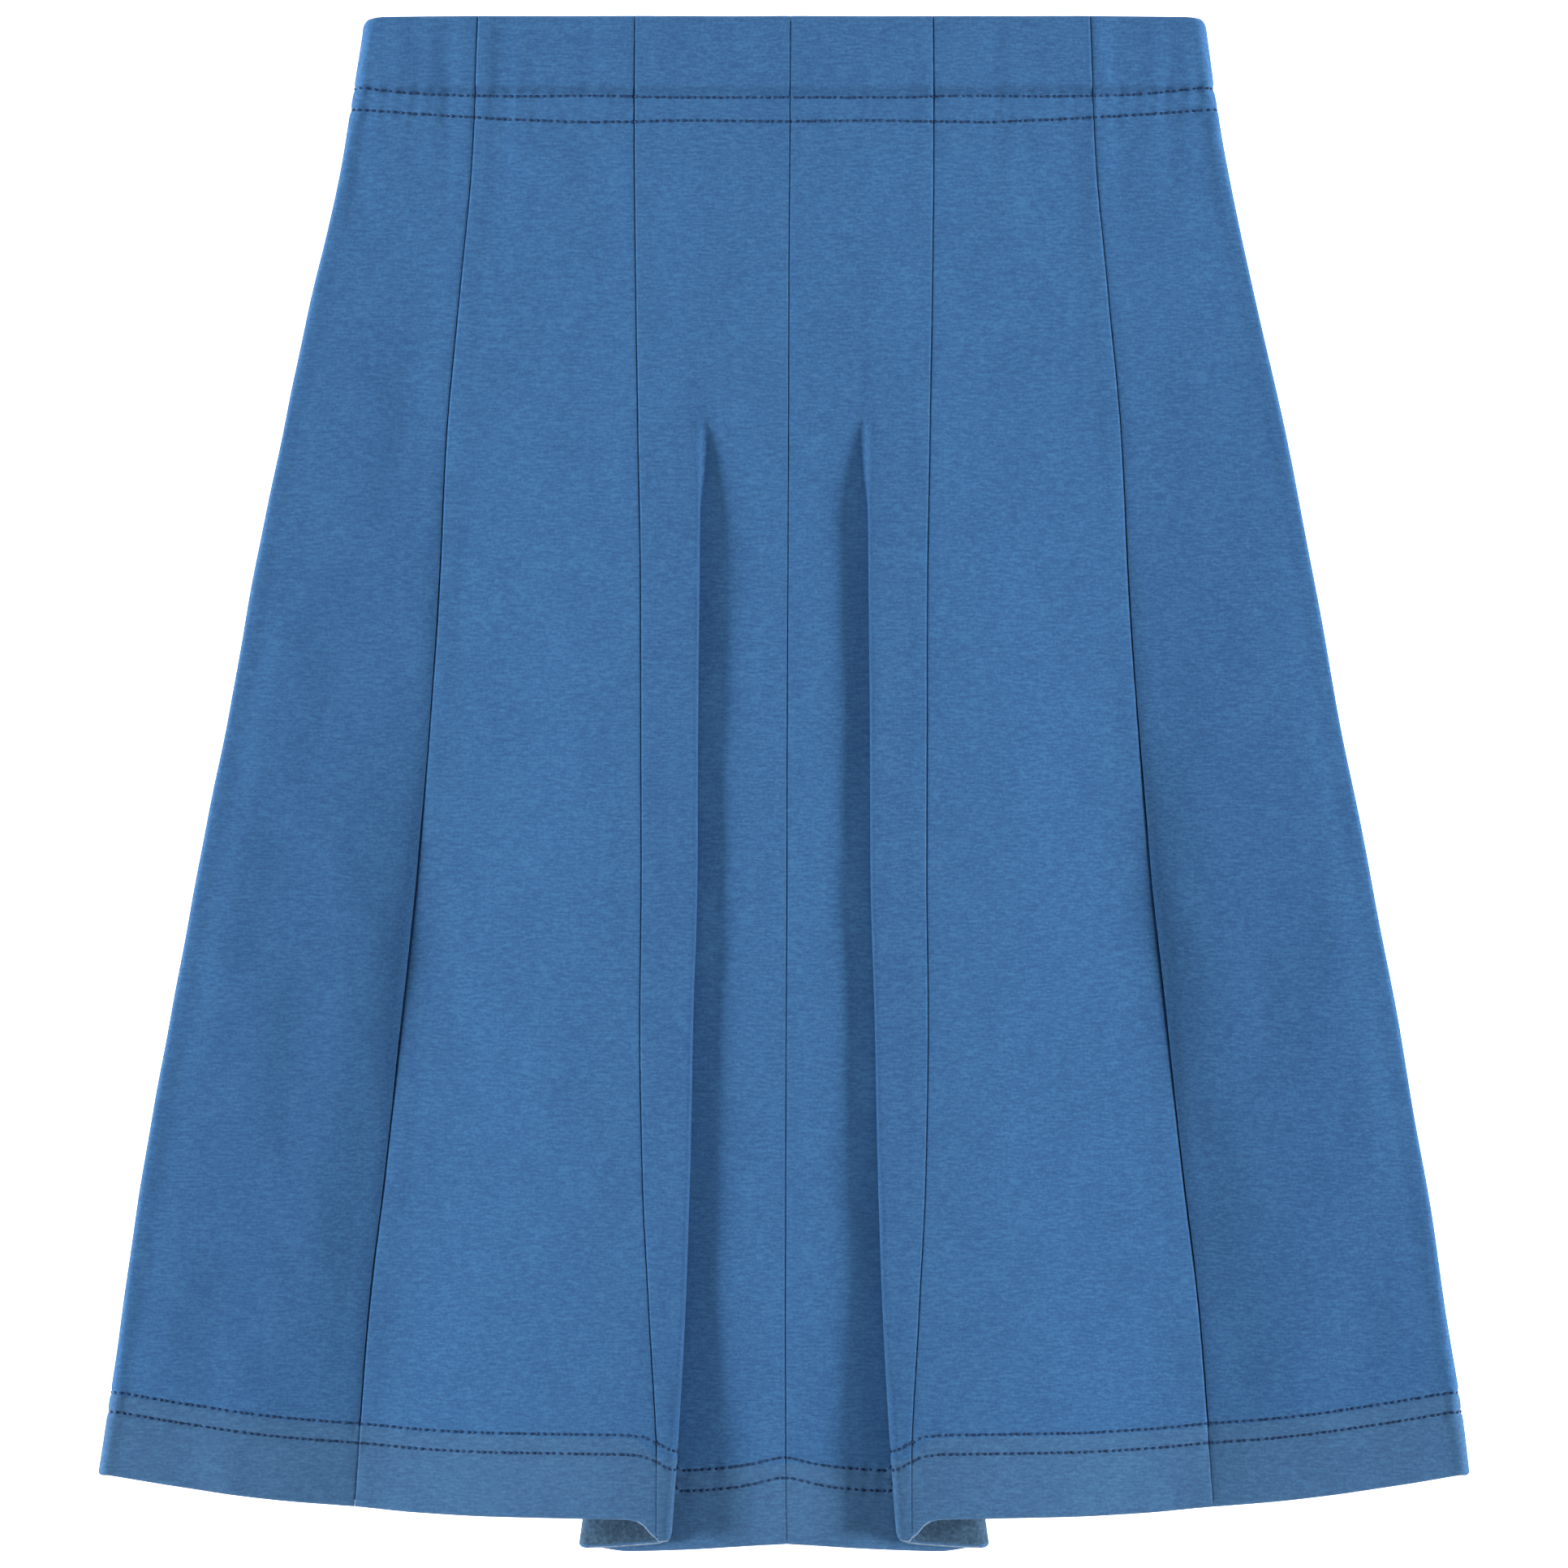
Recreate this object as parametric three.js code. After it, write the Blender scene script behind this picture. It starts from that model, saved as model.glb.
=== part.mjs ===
import * as THREE from 'three';

// A gored A-line skirt in sweat jersey, laid flat on its back, in millimetres.
// X runs across, Y from the hem up to the waist, and Z up from the surface it lies on.
// A level is counted down from the waist edge, a distance across from the centre line.

// Cloth and making up
const CLOTH = 1.2;
const ELASTIC = 1.0;
const HEM_WALL = 2 * CLOTH;
const CASING_WALL = HEM_WALL + ELASTIC;
const SEAM_GAP = 0.3;
const LAYER_GAP = 0.6;

// Sizes of the whole
const LENGTH = 472.4;
const HEM_ROW = 461;
const HEM_DEPTH = 25;
const HEM_STEP = 1;
const ELASTIC_DEPTH = 21;
const UPPER_ROW = 24.5;
const CASING_DEPTH = 33;
const WAIST_CORNER = 4;
const COLOUR = 0x3d72ab;

// Height of the face of a front panel that lies on the back, for a wall of each kind
const SINGLE_FACE = 2 * CLOTH + LAYER_GAP;
const HEM_FACE = 2 * HEM_WALL + LAYER_GAP;
const CASING_FACE = 2 * CASING_WALL + LAYER_GAP;

// Plan of the front: half width at the side seams, and how far across each line lies
const FRONT_PLAN = [
  { level: 0, side: 129.1, outerSeam: 94.1, innerSeam: 45.9, centreSeam: 2.0, foldEdge: 22.0 },
  { level: 40, side: 135.2, outerSeam: 95.8, innerSeam: 46.1, centreSeam: 1.8, foldEdge: 23.0 },
  { level: 85, side: 145.0, outerSeam: 99.9, innerSeam: 45.7, centreSeam: 1.5, foldEdge: 24.5 },
  { level: 130, side: 154.7, outerSeam: 104.0, innerSeam: 44.9, centreSeam: 1.4, foldEdge: 25.5 },
  { level: 175, side: 163.4, outerSeam: 106.2, innerSeam: 44.1, centreSeam: 1.2, foldEdge: 26.0 },
  { level: 220, side: 171.7, outerSeam: 109.3, innerSeam: 44.0, centreSeam: 1.0, foldEdge: 26.4 },
  { level: 265, side: 180.1, outerSeam: 113.1, innerSeam: 43.9, centreSeam: 0.9, foldEdge: 26.6 },
  { level: 310, side: 188.5, outerSeam: 117.9, innerSeam: 44.3, centreSeam: 0.7, foldEdge: 27.9 },
  { level: 355, side: 196.7, outerSeam: 122.7, innerSeam: 43.6, centreSeam: 0.5, foldEdge: 28.8 },
  { level: 400, side: 203.5, outerSeam: 128.0, innerSeam: 41.4, centreSeam: 0.4, foldEdge: 30.3 },
  { level: 448.5, side: 210.6, outerSeam: 131.4, innerSeam: 39.0, centreSeam: 0.6, foldEdge: 33.0 },
  { level: 472, side: 214.0, outerSeam: 133.0, innerSeam: 39.2, centreSeam: 0.9, foldEdge: 34.7 },
];

// Plan of the back, whose seams flare evenly to the hem
const BACK_PLAN = [
  { level: 0, outerSeam: 94.1, innerSeam: 45.9 },
  { level: HEM_ROW, outerSeam: 142, innerSeam: 71 },
];

// Wall of every panel, and height of the face of a panel lying on the back, from waist to hem
const LAYERS = [
  { level: 0, wall: CASING_WALL, face: CASING_FACE },
  { level: ELASTIC_DEPTH, wall: CASING_WALL, face: CASING_FACE },
  { level: UPPER_ROW, wall: HEM_WALL, face: HEM_FACE },
  { level: CASING_DEPTH, wall: HEM_WALL, face: HEM_FACE },
  { level: CASING_DEPTH + HEM_STEP, wall: CLOTH, face: 5.3 },
  { level: 46, wall: CLOTH, face: 3.9 },
  { level: 60, wall: CLOTH, face: SINGLE_FACE },
  { level: 390, wall: CLOTH, face: SINGLE_FACE },
  { level: 412, wall: CLOTH, face: 4.1 },
  { level: HEM_ROW - HEM_DEPTH - HEM_STEP, wall: CLOTH, face: HEM_FACE },
  { level: HEM_ROW - HEM_DEPTH, wall: HEM_WALL, face: HEM_FACE },
  { level: HEM_ROW, wall: HEM_WALL, face: HEM_FACE },
];

// The centre pleat: how far the cloth turns under, in degrees, the radius of its face where
// it turns at the front and at the hidden edge, where that edge lies, and the recess's crown
const PLEAT = [
  { level: 60, turn: 0, frontRadius: 1.7, hiddenRadius: 0.7, hiddenEdge: 25, crown: 0 },
  { level: 100, turn: 4, frontRadius: 1.7, hiddenRadius: 0.7, hiddenEdge: 25.2, crown: 0 },
  { level: 116, turn: 14, frontRadius: 1.7, hiddenRadius: 0.7, hiddenEdge: 25.3, crown: 0.1 },
  { level: 130, turn: 60, frontRadius: 1.7, hiddenRadius: 0.7, hiddenEdge: 25.5, crown: 0.2 },
  { level: 146, turn: 120, frontRadius: 1.7, hiddenRadius: 0.7, hiddenEdge: 27.5, crown: 0.3 },
  { level: 166, turn: 162, frontRadius: 1.7, hiddenRadius: 0.7, hiddenEdge: 29.7, crown: 0.3 },
  { level: 195, turn: 180, frontRadius: 1.7, hiddenRadius: 0.7, hiddenEdge: 32.9, crown: 0.3 },
  { level: 380, turn: 180, frontRadius: 2.0, hiddenRadius: 0.8, hiddenEdge: 53.0, crown: 0.4 },
  { level: 434, turn: 180, frontRadius: 3.3, hiddenRadius: 0.8, hiddenEdge: 58.9, crown: 0.4 },
  { level: HEM_ROW, turn: 180, frontRadius: 3.8, hiddenRadius: 0.8, hiddenEdge: 62.6, crown: 0.3 },
];
const SHORTEST_FRONT_TURN = 3;
const SHORTEST_HIDDEN_TURN = 2;
const SHORTEST_RUN = 0.6;
const CROWN_FOOT = 1.5;
const CROWN_WIDTH = 15;

// The front starts to sink this far past the fold, and rests on the back at its outer seam
const PLATEAU_PAST_FOLD = 4;

// How each side panel swells up from its outer seam, and the steeper bank right beside the seam
const SWELL = [
  { level: 60, height: 0, bank: 0 },
  { level: 110, height: 0.9, bank: 0.2 },
  { level: 150, height: 1.9, bank: 0.5 },
  { level: 220, height: 3.2, bank: 1.0 },
  { level: 260, height: 4.2, bank: 2.2 },
  { level: 290, height: 4.8, bank: 2.8 },
  { level: 320, height: 5.2, bank: 1.8 },
  { level: 350, height: 5.2, bank: 0.8 },
  { level: 390, height: 4.8, bank: 0.4 },
  { level: 430, height: 4.0, bank: 0.3 },
  { level: HEM_ROW, height: 2.8, bank: 0.2 },
];
const SWELL_REACH = 66;
const BANK_WIDTH = 3.5;
const SWELL_FALL = 0.8;
const EDGE_SHARE = 0.9;

// Level of the front hem's edge, by the distance across at the hem
const FRONT_HEM = [
  { level: 39.2, edge: 465.8 },
  { level: 41.4, edge: 464.4 },
  { level: 43.2, edge: 462.6 },
  { level: 45.4, edge: 461.6 },
  { level: 48, edge: 461.3 },
  { level: 90, edge: 461.2 },
  { level: 110.4, edge: 460.5 },
  { level: 133.4, edge: 458.5 },
  { level: 155.6, edge: 456.5 },
  { level: 185.6, edge: 452.5 },
  { level: 210.6, edge: 448.5 },
];

// Level of the hem's edge along a centre panel, by stage: 0 is the inner seam, 1 the start of
// the front turn, 2 its end, 3 the start of the hidden turn, 4 its end and 5 the centre seam
const PLEAT_HEM = [
  { level: 0, edge: 465.8 },
  { level: 1, edge: 466.4 },
  { level: 2, edge: 468.0 },
  { level: 3, edge: 470.8 },
  { level: 4, edge: 471.0 },
  { level: 4.2, edge: LENGTH },
  { level: 4.45, edge: 472.0 },
  { level: 5, edge: 470.1 },
];

// Level of the back hem's edge, just inside the front's, by the distance across
const BACK_HEM = [
  { level: 0, edge: 463 },
  { level: 90, edge: 459.3 },
  { level: 133, edge: 456 },
  { level: 170, edge: 452.7 },
  { level: 210.6, edge: 448 },
];
const BACK_WAIST = 1;

// Levels at which the panels are sectioned, for a hem edge at HEM_ROW
const WAIST_ROWS = [0, 12, ELASTIC_DEPTH, UPPER_ROW, CASING_DEPTH, CASING_DEPTH + HEM_STEP];
const HEM_ROWS = [HEM_ROW - HEM_DEPTH - HEM_STEP, HEM_ROW - HEM_DEPTH, 448, HEM_ROW];
const PLEAT_ROWS = [46, 60, 85, 100, 110, 118, 126, 134, 144, 156, 170, 190, 215, 240, 265];
const BODY_ROWS = [46, 60, 85, 110, 140, 165, 190, 215, 240, 265];
const LOWER_ROWS = [290, 315, 340, 365, 390, 412];
const BACK_ROWS = [60, 130, 200, 265, 330, 390];
const CORNER_ROWS = [0, 1.1, WAIST_CORNER];

// How finely each stretch of a section is divided
const SHARES_ACROSS_MIDDLE = [0, 0.03, 0.07, 0.19, 0.31, 0.43, 0.55, 0.67, 0.78, 0.89, 1];
const SHARES_ACROSS_SIDE = [0, 0.05, 0.11, 0.2, 0.34, 0.54, 0.75, 0.85, 0.93, 1];
const SHARES_ACROSS_BACK = [0, 0.5, 1];
const RECESS_STAGES = [4.2, 4.42, 4.53, 4.64, 4.82, 5];
const FRONT_STEPS = 2;
const FRONT_TURN_STEPS = 6;
const RUN_STEPS = 2;
const HIDDEN_TURN_STEPS = 5;
const EDGE_STEPS = 3;

// Reads a column of a table at a level, on straight lines between its rows.
function readStraight(table, column, level) {
  const last = table.length - 1;
  if (level <= table[0].level) return table[0][column];
  if (level >= table[last].level) return table[last][column];
  const next = table.findIndex((row) => row.level > level);
  const [from, to] = [table[next - 1], table[next]];
  const share = (level - from.level) / (to.level - from.level);
  return from[column] + share * (to[column] - from[column]);
}

// Reads a column of a table at a level, on a smooth curve that never overshoots its rows.
function read(table, column, level) {
  const last = table.length - 1;
  if (level <= table[0].level) return table[0][column];
  if (level >= table[last].level) return table[last][column];
  const rise = (row) => {
    const [from, to] = [table[row], table[row + 1]];
    return (to[column] - from[column]) / (to.level - from.level);
  };
  const slope = (row) => {
    if (row === 0) return rise(0);
    if (row === last) return rise(last - 1);
    const [before, after] = [rise(row - 1), rise(row)];
    return before * after <= 0 ? 0 : (2 * before * after) / (before + after);
  };
  const next = table.findIndex((row) => row.level > level);
  const [from, to] = [table[next - 1], table[next]];
  const span = to.level - from.level;
  const t = (level - from.level) / span;
  const stay = (1 + 2 * t) * (1 - t) * (1 - t);
  const leave = t * (1 - t) * (1 - t) * span;
  const arrive = t * t * (t - 1) * span;
  return stay * from[column] + (1 - stay) * to[column] + leave * slope(next - 1) + arrive * slope(next);
}

function mix(from, to, share) {
  return from + (to - from) * share;
}

function ease(share) {
  return THREE.MathUtils.smoothstep(share, 0, 1);
}

// Level that a row has where the hem's edge is at the given level. Rows near the hem follow
// its edge, and rows near the waist stay straight.
function rowLevel(row, hemEdge) {
  return row + (hemEdge - HEM_ROW) * ease(row / (HEM_ROW - HEM_DEPTH - HEM_STEP));
}

function wallAt(row) {
  return readStraight(LAYERS, 'wall', row);
}

function faceAt(row) {
  return readStraight(LAYERS, 'face', row);
}

// The face of the pleat's two turns at a row, walked from the start of the front turn towards
// the centre. Each point has its stage, its heading in radians and how far it lies off the start.
function pleatWalk(row) {
  const turn = THREE.MathUtils.degToRad(read(PLEAT, 'turn', row));
  const frontRadius = read(PLEAT, 'frontRadius', row);
  const hiddenRadius = read(PLEAT, 'hiddenRadius', row);
  const hidden = read(PLEAT, 'hiddenEdge', row);
  const edge = read(FRONT_PLAN, 'foldEdge', row);
  const frontLength = Math.max(frontRadius * turn, SHORTEST_FRONT_TURN);
  const runLength = Math.max(hidden - edge - frontRadius - hiddenRadius - wallAt(row), SHORTEST_RUN);
  const hiddenLength = Math.max(hiddenRadius * turn, SHORTEST_HIDDEN_TURN);
  const stretches = [
    { steps: FRONT_TURN_STEPS, length: frontLength, from: 0, to: turn },
    { steps: RUN_STEPS, length: runLength, from: turn, to: turn },
    { steps: HIDDEN_TURN_STEPS, length: hiddenLength, from: turn, to: 0 },
  ];
  const points = [{ stage: 1, heading: 0, inward: 0, drop: 0 }];
  let [inward, drop] = [0, 0];
  stretches.forEach((stretch, index) => {
    for (let step = 1; step <= stretch.steps; step += 1) {
      const share = step / stretch.steps;
      const middle = mix(stretch.from, stretch.to, (step - 0.5) / stretch.steps);
      inward += (Math.cos(middle) * stretch.length) / stretch.steps;
      drop += (Math.sin(middle) * stretch.length) / stretch.steps;
      const heading = mix(stretch.from, stretch.to, share);
      points.push({ stage: 1 + index + share, heading, inward, drop });
    }
  });
  const reach = Math.max(...points.filter((point) => point.stage <= 3).map((point) => point.inward));
  return { points, start: edge + reach, height: drop };
}

// Height of the front's face where it is one layer of cloth lying over the pleat and the back.
function frontHeight(across, row, level) {
  const over = read(FRONT_PLAN, 'foldEdge', level) + PLATEAU_PAST_FOLD;
  const seam = read(FRONT_PLAN, 'outerSeam', level);
  return faceAt(row) + pleatWalk(row).height * (1 - ease((across - over) / (seam - over)));
}

// Height of the front's face where it bends down at the side.
function edgeFace(row) {
  return faceAt(row) + EDGE_SHARE * (read(SWELL, 'height', row) + read(SWELL, 'bank', row));
}

// Radius of the side's bend: a tight one in the front, and in the back what is left of the height.
function sideBend(row, front) {
  const tight = (faceAt(row) - SEAM_GAP) / 2;
  return front ? tight : edgeFace(row) - SEAM_GAP - tight;
}

// Height of a front side panel's face at a distance out from its seam, and at a share of the
// way to the side: it swells up from the seam and sinks again to the side's bend.
function swellHeight(outward, share, row) {
  const broad = 1 - (1 - Math.min(outward / SWELL_REACH, 1)) ** 3;
  const steep = 1 - Math.exp(-outward / BANK_WIDTH);
  const sink = (1 - EDGE_SHARE) * ease((share - SWELL_FALL) / (1 - SWELL_FALL));
  const [height, bank] = [read(SWELL, 'height', row), read(SWELL, 'bank', row)];
  return faceAt(row) + height * (broad - sink) + bank * (steep - sink);
}

// One point of a section: its place on the face, and the place behind it on the wrong side.
function point(across, level, height, backAcross, backHeight) {
  return { across, level, height, backAcross, backHeight };
}

// A point whose wrong side lies square behind its face, for a face that leans by an angle.
function leaning(across, level, height, lean, wall) {
  return point(across, level, height, across - Math.sin(lean) * wall, height - Math.cos(lean) * wall);
}

// Section of a centre panel, from the inner seam round the pleat to the centre seam.
function centreSection(row, side) {
  const wall = wallAt(row);
  const face = faceAt(row);
  const levelAt = (stage) => rowLevel(row, read(PLEAT_HEM, 'edge', stage));
  const walk = pleatWalk(row);
  const shift = read(FRONT_PLAN, 'foldEdge', levelAt(1)) - read(FRONT_PLAN, 'foldEdge', row);
  const start = walk.start + shift;
  const seam = read(FRONT_PLAN, 'innerSeam', levelAt(0)) - SEAM_GAP / 2;
  const section = [];
  for (let step = 0; step < FRONT_STEPS; step += 1) {
    const stage = step / FRONT_STEPS;
    const across = mix(seam, start, stage);
    section.push(leaning(across, levelAt(stage), frontHeight(across, row, levelAt(stage)), 0, wall));
  }
  const top = face + walk.height;
  for (const { stage, heading, inward, drop } of walk.points) {
    section.push(leaning(start - inward, levelAt(stage), top - drop, -heading, wall));
  }
  const end = start - walk.points.at(-1).inward;
  const crown = read(PLEAT, 'crown', row);
  for (const stage of RECESS_STAGES) {
    const level = levelAt(stage);
    const centre = side * read(FRONT_PLAN, 'centreSeam', level) + SEAM_GAP / 2;
    const across = mix(end, centre, stage - 4);
    const inside = read(FRONT_PLAN, 'foldEdge', level) + CROWN_FOOT - Math.abs(across);
    const rest = 1 - THREE.MathUtils.clamp(inside / CROWN_WIDTH, 0, 1);
    section.push(leaning(across, level, face + crown * (1 - rest * rest), 0, wall));
  }
  return section;
}

// Section of a middle panel, from the inner seam down to the outer seam.
function middleSection(row) {
  const place = (share, level) => {
    const inner = read(FRONT_PLAN, 'innerSeam', level) + SEAM_GAP / 2;
    return mix(inner, read(FRONT_PLAN, 'outerSeam', level) - SEAM_GAP / 2, share);
  };
  return SHARES_ACROSS_MIDDLE.map((share) => {
    const level = rowLevel(row, read(FRONT_HEM, 'edge', place(share, HEM_ROW)));
    const across = place(share, level);
    return leaning(across, level, frontHeight(across, row, level), 0, wallAt(row));
  });
}

// Half width of the skirt at a level, with the waist's corners rounded.
function halfWidth(level) {
  const rest = Math.max(0, WAIST_CORNER - level);
  const corner = WAIST_CORNER - Math.sqrt(WAIST_CORNER ** 2 - rest ** 2);
  return read(FRONT_PLAN, 'side', level) - corner;
}

// Section of a side panel, from the outer seam to the side, where the cloth bends to meet the
// other layer. The front's bends down and the back's bends up.
function sideSection(row, facing) {
  const wall = wallAt(row);
  const front = facing > 0;
  const bend = sideBend(row, front);
  const plan = front ? FRONT_PLAN : BACK_PLAN;
  const hem = front ? FRONT_HEM : BACK_HEM;
  const place = (share, level) => {
    return mix(read(plan, 'outerSeam', level) + SEAM_GAP / 2, halfWidth(level) - bend, share);
  };
  const levelAt = (share) => rowLevel(row, read(hem, 'edge', place(share, HEM_ROW)));
  const shares = front ? SHARES_ACROSS_SIDE : SHARES_ACROSS_BACK;
  const section = shares.map((share) => {
    const level = levelAt(share);
    const across = place(share, level);
    const height = front ? swellHeight(across - place(0, level), share, row) : 0;
    return point(across, level, height, across, height - facing * wall);
  });
  const { across, level, height } = section.at(-1);
  for (let step = 1; step <= EDGE_STEPS; step += 1) {
    const angle = (step / EDGE_STEPS) * (Math.PI / 2);
    const [out, up] = [Math.sin(angle), Math.cos(angle)];
    const pivot = height - facing * bend;
    section.push(point(across + bend * out, level, pivot + facing * bend * up,
      across + (bend - wall) * out, pivot + facing * (bend - wall) * up));
  }
  return section;
}

// Section of a flat panel of the back between two of its seams.
function backSection(row, side, inner, outer) {
  const wall = wallAt(row);
  const seams = (level) => {
    const centre = side * read(FRONT_PLAN, 'centreSeam', 0);
    const from = inner ? read(BACK_PLAN, inner, level) : centre;
    return [from + SEAM_GAP / 2, read(BACK_PLAN, outer, level) - SEAM_GAP / 2];
  };
  return SHARES_ACROSS_BACK.map((share) => {
    const edge = read(BACK_HEM, 'edge', mix(...seams(HEM_ROW), share));
    const level = rowLevel(row, edge);
    const across = mix(...seams(level), share);
    return point(across, level, 0, across, wall);
  });
}

// Closed sheet of cloth through its sections. Each section runs the same way across, and each
// of its points has a place on the face and one on the wrong side.
function clothSheet(sections, side) {
  const [rows, columns] = [sections.length, sections[0].length];
  const positions = [];
  for (const section of sections) {
    for (const { across, level, height } of section) {
      positions.push(side * across, LENGTH / 2 - level, height);
    }
    for (const { backAcross, level, backHeight } of section) {
      positions.push(side * backAcross, LENGTH / 2 - level, backHeight);
    }
  }
  const face = (row, column) => row * 2 * columns + column;
  const back = (row, column) => face(row, column) + columns;
  const index = [];
  const quad = (a, b, c, d) => index.push(a, b, c, a, c, d);
  for (let row = 0; row < rows - 1; row += 1) {
    for (let column = 0; column < columns - 1; column += 1) {
      const [down, on] = [row + 1, column + 1];
      quad(face(row, column), face(row, on), face(down, on), face(down, column));
      quad(back(row, column), back(down, column), back(down, on), back(row, on));
    }
    for (const [column, turned] of [[0, false], [columns - 1, true]]) {
      const around = [face(row, column), face(row + 1, column), back(row + 1, column), back(row, column)];
      quad(...(turned ? around.reverse() : around));
    }
  }
  for (let column = 0; column < columns - 1; column += 1) {
    for (const [row, turned] of [[0, true], [rows - 1, false]]) {
      const around = [face(row, column), face(row, column + 1), back(row, column + 1), back(row, column)];
      quad(...(turned ? around.reverse() : around));
    }
  }
  const geometry = new THREE.BufferGeometry();
  geometry.setAttribute('position', new THREE.Float32BufferAttribute(positions, 3));
  geometry.setIndex(index);
  if (signedVolume(geometry) < 0) geometry.setIndex(index.reverse());
  geometry.computeVertexNormals();
  return geometry;
}

// Volume that a closed mesh holds, less than zero where its faces point in.
function signedVolume(geometry) {
  const place = geometry.getAttribute('position');
  const corners = [new THREE.Vector3(), new THREE.Vector3(), new THREE.Vector3()];
  const index = geometry.getIndex().array;
  let volume = 0;
  for (let first = 0; first < index.length; first += 3) {
    corners.forEach((corner, offset) => corner.fromBufferAttribute(place, index[first + offset]));
    volume += corners[0].dot(corners[1].cross(corners[2])) / 6;
  }
  return volume;
}

function panel(name, sections, side) {
  const cloth = new THREE.MeshStandardMaterial({ color: COLOUR, roughness: 0.9, metalness: 0 });
  const mesh = new THREE.Mesh(clothSheet(sections, side), cloth);
  mesh.name = name;
  return mesh;
}

const skirt = new THREE.Group();
const centreRows = [...WAIST_ROWS, ...PLEAT_ROWS, ...LOWER_ROWS, ...HEM_ROWS];
const middleRows = [...WAIST_ROWS, ...BODY_ROWS, ...LOWER_ROWS, ...HEM_ROWS];
const sideRows = [...CORNER_ROWS, ...middleRows.slice(1)];
const backRows = [...WAIST_ROWS, ...BACK_ROWS, ...HEM_ROWS].map((row) => Math.max(row, BACK_WAIST));

for (const [hand, side] of [['left', -1], ['right', 1]]) {
  const back = (inner, outer) => backRows.map((row) => backSection(row, side, inner, outer));
  skirt.add(
    panel(`front_centre_${hand}`, centreRows.map((row) => centreSection(row, side)), side),
    panel(`front_middle_${hand}`, middleRows.map((row) => middleSection(row)), side),
    panel(`front_side_${hand}`, sideRows.map((row) => sideSection(row, 1)), side),
    panel(`back_centre_${hand}`, back(null, 'innerSeam'), side),
    panel(`back_middle_${hand}`, back('innerSeam', 'outerSeam'), side),
    panel(`back_side_${hand}`, sideRows.map((row) => sideSection(row, -1)), side),
  );
}

export default skirt;
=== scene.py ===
"""A gored jersey skirt, laid flat on a pale table and seen from straight above.

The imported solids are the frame. Each gore is made again here as a fine shell on the same form, with
its seams, folded edges, creases and stitches. Lengths are in millimetres, and MM turns them into the
metres of a mesh. X runs across, Y from the hem to the waist and Z up. A level is counted down from
the waist edge, a distance across from the centre line, and a row is a level on a panel whose hem
lies at the shape's hem row.
"""

import logging
import math
from abc import ABC, abstractmethod
from dataclasses import dataclass, field, replace
from enum import Enum, IntEnum
from typing import Any, Callable, Iterator, Optional, Sequence

import bpy
import numpy as np
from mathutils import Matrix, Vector


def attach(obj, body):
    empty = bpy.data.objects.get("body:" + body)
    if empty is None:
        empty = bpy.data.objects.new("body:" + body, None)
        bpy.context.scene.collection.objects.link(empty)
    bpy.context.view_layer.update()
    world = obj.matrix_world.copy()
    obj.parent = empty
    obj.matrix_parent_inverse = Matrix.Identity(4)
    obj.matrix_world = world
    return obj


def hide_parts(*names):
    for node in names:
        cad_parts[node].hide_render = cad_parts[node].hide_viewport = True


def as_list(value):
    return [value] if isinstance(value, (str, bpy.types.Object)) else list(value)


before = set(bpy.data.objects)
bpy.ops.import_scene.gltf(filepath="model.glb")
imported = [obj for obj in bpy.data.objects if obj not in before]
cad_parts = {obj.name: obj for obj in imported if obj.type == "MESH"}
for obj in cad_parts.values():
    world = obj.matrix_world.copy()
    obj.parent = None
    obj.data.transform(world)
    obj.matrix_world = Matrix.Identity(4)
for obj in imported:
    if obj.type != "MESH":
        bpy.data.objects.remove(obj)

MM = 0.001
BODY = "root"
log = logging.getLogger("skirt")


class Hand(Enum):
    """The half of the skirt that a gore is in, as seen from above."""

    LEFT = -1
    RIGHT = 1


class Layer(Enum):
    """Which way the face of a gore lies: up on the front, down on the back."""

    FRONT = 1
    BACK = -1


class Finish(Enum):
    """The material slots of a gore's mesh."""

    FACE = 0
    # The hem band, painted paler and greyer as painted light.
    PAINTED_PALE_HEM_FACE = 1
    # The wrong side: greyer as the looped cloth is, and darker as painted shade.
    WRONG_SIDE = 2
    # The fold of the hem, painted pale as a painted highlight.
    FOLDED_EDGE = 3


class Stage(IntEnum):
    """The stages that a front centre gore's face passes on its way round the pleat."""

    INNER_SEAM = 0
    FRONT_TURN = 1
    RUN = 2
    HIDDEN_TURN = 3
    RECESS = 4
    CENTRE_SEAM = 5


class Table:
    """Rows of numbers with named columns, read on smooth curves that never overshoot a row."""

    def __init__(self, columns: str, *rows: Sequence[float]) -> None:
        """Holds the rows.

        Args:
            columns: The columns' names, of which the first is the one that the table is read by.
            rows: One sequence of numbers for each row, in rising order of the first column.
        """
        values = np.array(rows, dtype=float)
        self.keys = values[:, 0]
        self.columns = dict(zip(columns.split(), values.T))

    def read(self, column: str, at: Any) -> Any:
        """Reads a column.

        Args:
            column: The name of the column.
            at: The places to read it at, one number or an array.

        Returns:
            The values there, held at the first and last rows outside the table.
        """
        keys, values = self.keys, self.columns[column]
        steps = np.diff(keys)
        rises = np.diff(values) / steps
        slopes = np.concatenate(([rises[0]], np.zeros(len(keys) - 2), [rises[-1]]))
        before, after = rises[:-1], rises[1:]
        same_way = before * after > 0
        both = np.where(same_way, before + after, 1.0)
        slopes[1:-1] = np.where(same_way, 2 * before * after / both, 0.0)
        at = np.clip(at, keys[0], keys[-1])
        row = np.clip(np.searchsorted(keys, at, side="right") - 1, 0, len(keys) - 2)
        share = (at - keys[row]) / steps[row]
        stay = (1 + 2 * share) * (1 - share) ** 2
        leave = share * (1 - share) ** 2 * steps[row]
        arrive = share**2 * (share - 1) * steps[row]
        ends = stay * values[row] + (1 - stay) * values[row + 1]
        return ends + leave * slopes[row] + arrive * slopes[row + 1]


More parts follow.
